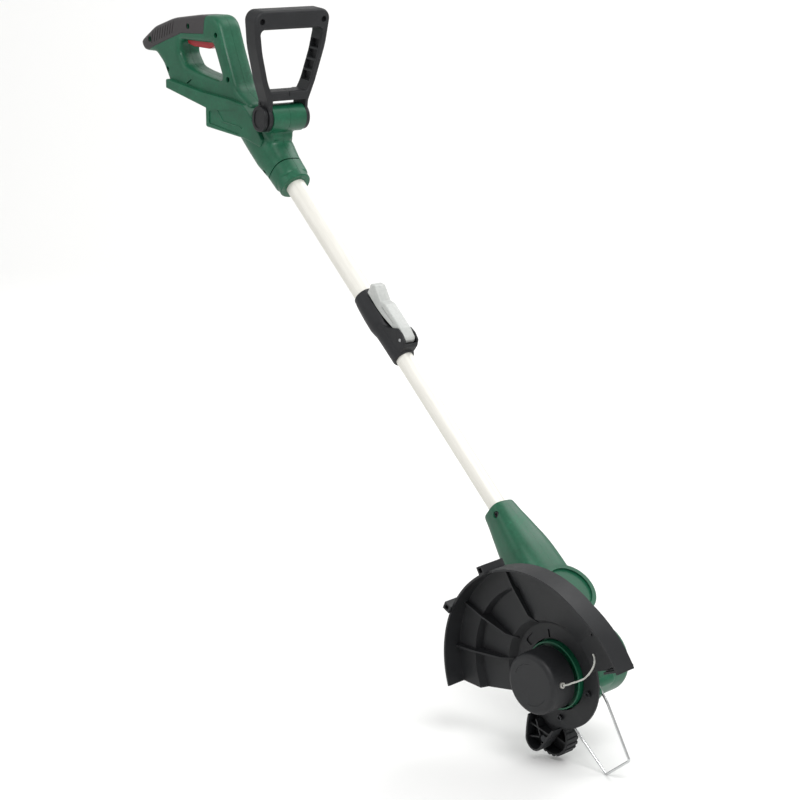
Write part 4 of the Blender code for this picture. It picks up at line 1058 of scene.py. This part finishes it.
guard = loft("guard_skin", [guard_section(share) for share in np.linspace(0, 1, 150)])
join(guard, lathe("collar", COLLAR_SECTION, 160, True))
for angle in RIB_ANGLES:
    join(guard, facing(plate("rib", [RIB_OUTLINE], 2.2), angle))
for angle in LUG_ANGLES:
    lug = block("lug", (131.2, -4.6, 13), (141.5, 4.6, 46))
    join(guard, facing(cut(lug, block("socket", (134, -2.6, 16), (139.3, 2.6, 60))), angle))
join(guard, facing(block("end_wall", (112, -1.2, 6), (131.6, 1.2, 33)), 119.4))
for screw in GUARD_SCREWS:
    join(guard, upright_rod("boss", screw, -12, -3.9, 6.2))
    cut(guard, upright_rod("hole", screw, -14, 4, 2.0))
cut(guard, facing(plate("window", [WINDOW], 20, "XY", 5.5), 2),
    facing(block("slit", (42.5, -1.3, -4.6), (52, 1.3, 4)), 39))
for angle in TOOTH_ANGLES:
    cut(guard, facing(block("tooth", (130, -2.2, 38.5), (134, 2.2, 50)), angle))
join(guard, upright_rod("pip", around(95, 95), 5, 12.2, 1.1))
fine(guard, SPOOL, BLACK_NYLON, "guard", 0.7)
print("guard made")

# %% [markdown]
# The bracket is a shallow tray with crossed ribs that carries the edging wheel on its pin. The
# wheel is an open cup with a toothed rim, so that it rolls along a lawn's edge without slipping.

# %% Wheel bracket and wheel
BRACKET = [(4, -56), (13, -74, 20), (25, -93, 14), (46, -93, 12), (45, -70, 6), (44, -40), (30, -28),
           (14, -44)]
BRACKET_RIBS = [((14, -72), (44, -58)), ((16, -60), (44, -78)), ((22, -88), (44, -62))]
BRACKET_FLOOR, BRACKET_FRONT = -8.2, 9
WHEEL_AT, WHEEL_R, WHEEL_TEETH, AXLE_HOLE_R, SPOKES = (38.5, -71.5), 25, 22, 2.95, 3
tray_middle, tray_depth = (BRACKET_FRONT + BRACKET_FLOOR) / 2, BRACKET_FRONT - BRACKET_FLOOR
bracket = plate("wheel_bracket_skin", [BRACKET], tray_depth, "XY", tray_middle)
cut(bracket, plate("tray", [BRACKET], tray_depth, "XY", tray_middle + 2.4, shrink=2.3))
for start, end in BRACKET_RIBS:
    way = Vector(end) - Vector(start)
    rib = block("rib", (-1, -0.9, BRACKET_FLOOR + 0.4), (way.length + 1, 0.9, 5.5))
    join(bracket, aimed(rib, math.atan2(way.y, way.x), start))
join(bracket, upright_rod("hub", WHEEL_AT, BRACKET_FLOOR + 0.3, 2, 6.5))
cut(bracket, upright_rod("collar_room", (0, 0), -5.8, 30, 63.4, 160),
    upright_rod("cup_room", (0, 0), -30, 30, 44.2, 128),
    upright_rod("axle_bore", WHEEL_AT, -20, 20, AXLE_HOLE_R), upright_rod("head_room", WHEEL_AT, 2, 20, 5),
    upright_rod("boss_room", GUARD_SCREWS[0], -20, 20, 7))
fine(bracket, SPOOL, BLACK_NYLON, "wheel_bracket", 0.6)


def toothed_rim(count, radius, depth):
    """A circle whose radius drops by the tooth's depth for two fifths of every pitch."""
    share = np.array([0, 0.14, 0.28, 0.42, 0.5, 0.56, 0.7, 0.84, 0.94])
    drop = np.array([0, 0, 0, 0, 0, 1, 1, 1, 1]) * depth
    a = 2 * math.pi * (np.arange(count)[:, None] + share) / count
    r = np.broadcast_to(radius - drop, a.shape)
    return np.column_stack([(WHEEL_AT[0] + r * np.cos(a)).ravel(), (WHEEL_AT[1] + r * np.sin(a)).ravel()])


wheel = plate("edge_wheel_skin", [toothed_rim(WHEEL_TEETH, WHEEL_R, 1.3)], 17.6, "XY", -17.6)
hollow = upright_rod("hollow", WHEEL_AT, -23.8, 0, WHEEL_R - 3.2, 96)
cut(hollow, upright_rod("hub", WHEEL_AT, -30, 10, 5.4))
for k in range(SPOKES):
    spoke = block("spoke", (0, -1.1, -24), (WHEEL_R, 1.1, -12))
    cut(hollow, aimed(spoke, math.radians(360 / SPOKES * k + 20), WHEEL_AT))
cut(wheel, hollow, upright_rod("bore", WHEEL_AT, -40, 10, AXLE_HOLE_R))
fine(wheel, SPOOL, BLACK_NYLON, "edge_wheel", 0.4)
print("bracket and wheel made")

# %% [markdown]
# The plant guard is one bent wire. Its path is half an outline with arcs at the bends, followed
# by its mirror image, and the wire's round section is swept along it.

# %% Wire guard
WIRE_R = 1.5
WIRE_HALF = [(HINGE_REACH, 24), (HINGE_REACH, 34, 3.5), (54.5, 34, 14), (121, 21.9, 2.6)]
wire_path = rounded(WIRE_HALF + [(p[0], -p[1], *p[2:]) for p in reversed(WIRE_HALF)])
wire_guard = wire("wire_guard_skin", [wire_point(*p) for p in wire_path], WIRE_R, 5)
fine(wire_guard, SPOOL, BRIGHT_WIRE, "wire_guard", 0)
print("wire guard bends", len(wire_path))

# %% [markdown]
# The cup and the bump cap turn about the spool's axis, so each is a lathe. The cap has a domed rim
# and two shallow arcs pressed into its face, and the eyelet sits in its side.

# %% Cup, cap and eyelet
CUP_R, CUP_RIM, CAP_R, CAP_RIM, CAP_FACE, TURNED_SIDES = 39.4, 2.2, 35.8, 5.4, 38.3, 144
CUP_PROFILE = [(37.4, CUP_RIM), (CUP_R - 0.5, CUP_RIM), (CUP_R, CUP_RIM - 0.5), (CUP_R, -10), (8, -10),
               (8, -12), (3, -12), (3, -4), (8, -4), (8, -7.6), (37.4, -7.6)]
CAP_PROFILE = [(0, CAP_FACE - 0.35), (10, CAP_FACE - 0.3), (22, CAP_FACE - 0.12), (29.6, CAP_FACE)]
CAP_PROFILE += arc_profile((29.6, CAP_FACE - 6), 6, 80, 8, 10)
CAP_PROFILE += [(CAP_R, 31), (CAP_R, CAP_RIM), (33.6, CAP_RIM), (33.6, 31.5), (29.8, 35.7), (0, 35.7)]
EYELET_PROFILE = [(1.5, 0), (3.7, 0), (3.7, 4.6), (3.1, 5.4), (2.1, 5.4), (1.5, 4.8)]
FACE_ARCS, ARC_R, ARC_STEPS = ((-62, 8), (128, 196)), 24, 24
cup = lathe("spool_cup_skin", CUP_PROFILE, TURNED_SIDES, True)
fine(cup, SPOOL, GREEN_ABS, "spool_cup", 0.25)
cap = lathe("spool_cap_skin", CAP_PROFILE, TURNED_SIDES)
cut(cap, rod("eye_hole", eyelet_point(25), eyelet_point(50), 4.1))
for ends in FACE_ARCS:
    a = np.radians(np.linspace(*ends, ARC_STEPS))
    bead = np.column_stack([ARC_R * np.cos(a), ARC_R * np.sin(a), np.full(ARC_STEPS, CAP_FACE + 0.25)])
    cut(cap, wire("bead", bead, 0.8, 3))
fine(cap, SPOOL, BLACK_NYLON, "spool_cap", 0.25)
eyelet = lathe("line_eyelet_skin", EYELET_PROFILE, 48, True)
eyelet_turn = Vector((*EYELET_WAY, 0)).to_track_quat("Z", "Y").to_matrix().to_4x4()
moved(eyelet, Matrix.Translation(Vector(eyelet_point(32)) * MM) @ eyelet_turn)
fine(eyelet, SPOOL, EYELET_ZINC, "line_eyelet", 0)
print("cup, cap and eyelet made")

# %% [markdown]
# The telescope clamp is a moulded collar with two cheeks, and its cam lever swings on a steel pin
# between them. Squeezed shut, the lever's cam presses a pad onto the tube.

# %% Telescope clamp
CLAMP_LOW, CLAMP_HIGH, LEVER_PIN = 369, 471, (22, 381)
CHEEK_HALF, LEVER_HALF = 11.5, 8.2
COLLAR_PROFILE = [(0, CLAMP_HIGH), (13.4, CLAMP_HIGH), (14.4, CLAMP_HIGH - 1), (15.6, 460), (16.6, 441),
                  (16.8, 425), (16.2, 420), (14.8, 413), (14.4, 400), (14.2, CLAMP_LOW + 2),
                  (13.2, CLAMP_LOW), (0, CLAMP_LOW)]
CLAMP_CHEEK = [(-2, 370.5), (20, 370.5, 2), (27.5, 374, 3), (30, 384, 6), (28.5, 394, 5), (17, 405, 10),
               (9, 418, 8), (-2, 430)]
LEVER_OUTLINE = [(15, 464, 2), (29, 466, 2), (33, 459, 4), (26.5, 438.5, 3), (30.4, 431, 3),
                 (30.6, 392, 8), (28, 377, 5), (17, 375.2, 5.5), (16.2, 387, 5), (20, 397, 10),
                 (15, 425, 10), (14, 440, 10)]
LEVER_ROOM = [(13.4, 372.6), (60, 372.6), (60, 500), (13.4, 500)]
LEVER_FLUTE = [(22.6, 433, 0.5), (24.6, 433, 0.5), (25.6, 404, 0.5), (23.8, 404, 0.5)]
PIN_HOLE_R, PIN_R = 2.35, 2
collar = lathe("clamp_skin", COLLAR_PROFILE)
join(collar, plate("cheek", [CLAMP_CHEEK], 2 * CHEEK_HALF, edge=1.6))
cut(collar, plate("lever_room", [LEVER_ROOM], 2 * LEVER_HALF + 0.7),
    upright_rod("bore", (0, 0), 372.2, 500, 12.85, 96), upright_rod("throat", (0, 0), 340, 380, 11.35, 96),
    cross_rod("pin_hole", LEVER_PIN, -40, 40, PIN_HOLE_R),
    block("pad_window", (8, -8.2, 373.6), (14, 8.2, 394.4)))
fine(collar, SHAFT, BLACK_NYLON, "clamp_collar", 0.6)
lever = plate("cam_lever_skin", [LEVER_OUTLINE], 2 * LEVER_HALF, edge=1.6, edge_steps=4)
cut(lever, cross_rod("pin_hole", LEVER_PIN, -30, 30, PIN_HOLE_R))
for side in (-1, 1):
    cut(lever, plate("flute", [LEVER_FLUTE], 1.6, middle=side * LEVER_HALF))
fine(lever, SHAFT, GREY_ACETAL, "cam_lever", 0.3)
pin = cross_rod("lever_pin_skin", LEVER_PIN, -CHEEK_HALF - 0.2, CHEEK_HALF + 0.2, PIN_R)
fine(pin, SHAFT, ZINC_STEEL, "lever_pin", 0.2)
print("clamp made")

# %% [markdown]
# The pieces that are left are small or mostly hidden. They keep the shape of their solids, with
# rounded edges and their own finishes.

# %% Copies of the other solids
BY_FINISH = [
    (DARK_NYLON, "black_plastic", 0.4, ["lock_button", "power_switch", "battery_terminals", "clamp_pad",
                                        "tube_guide", "tilt_button", "line_spool"]),
    (BLACK_STEEL, "steel", 0.15, ["neck_screw", "guard_screw_1", "guard_screw_2", "aux_screw_1",
                                  "aux_screw_2", "wheel_axle", "line_cutter"]
     + [f"handle_screw_{k}" for k in range(1, 7)]),
    (ZINC_STEEL, "steel", 0.15, ["trigger_pin", "aux_bolt", "tilt_bolt", "motor_shaft"]),
    (BRIGHT_WIRE, "steel", 0, ["bump_spring"]),
    (ZINC_STEEL, "motor_can", 0.4, ["motor"]),
    (NYLON_LINE, "nylon", 0.3, ["wound_line"]),
]
for material, slot, edge_mm, nodes in BY_FINISH:
    for node in nodes:
        rounded_copy(node, material, edge_mm)
print("rounded copies", sum(len(row[-1]) for row in BY_FINISH))
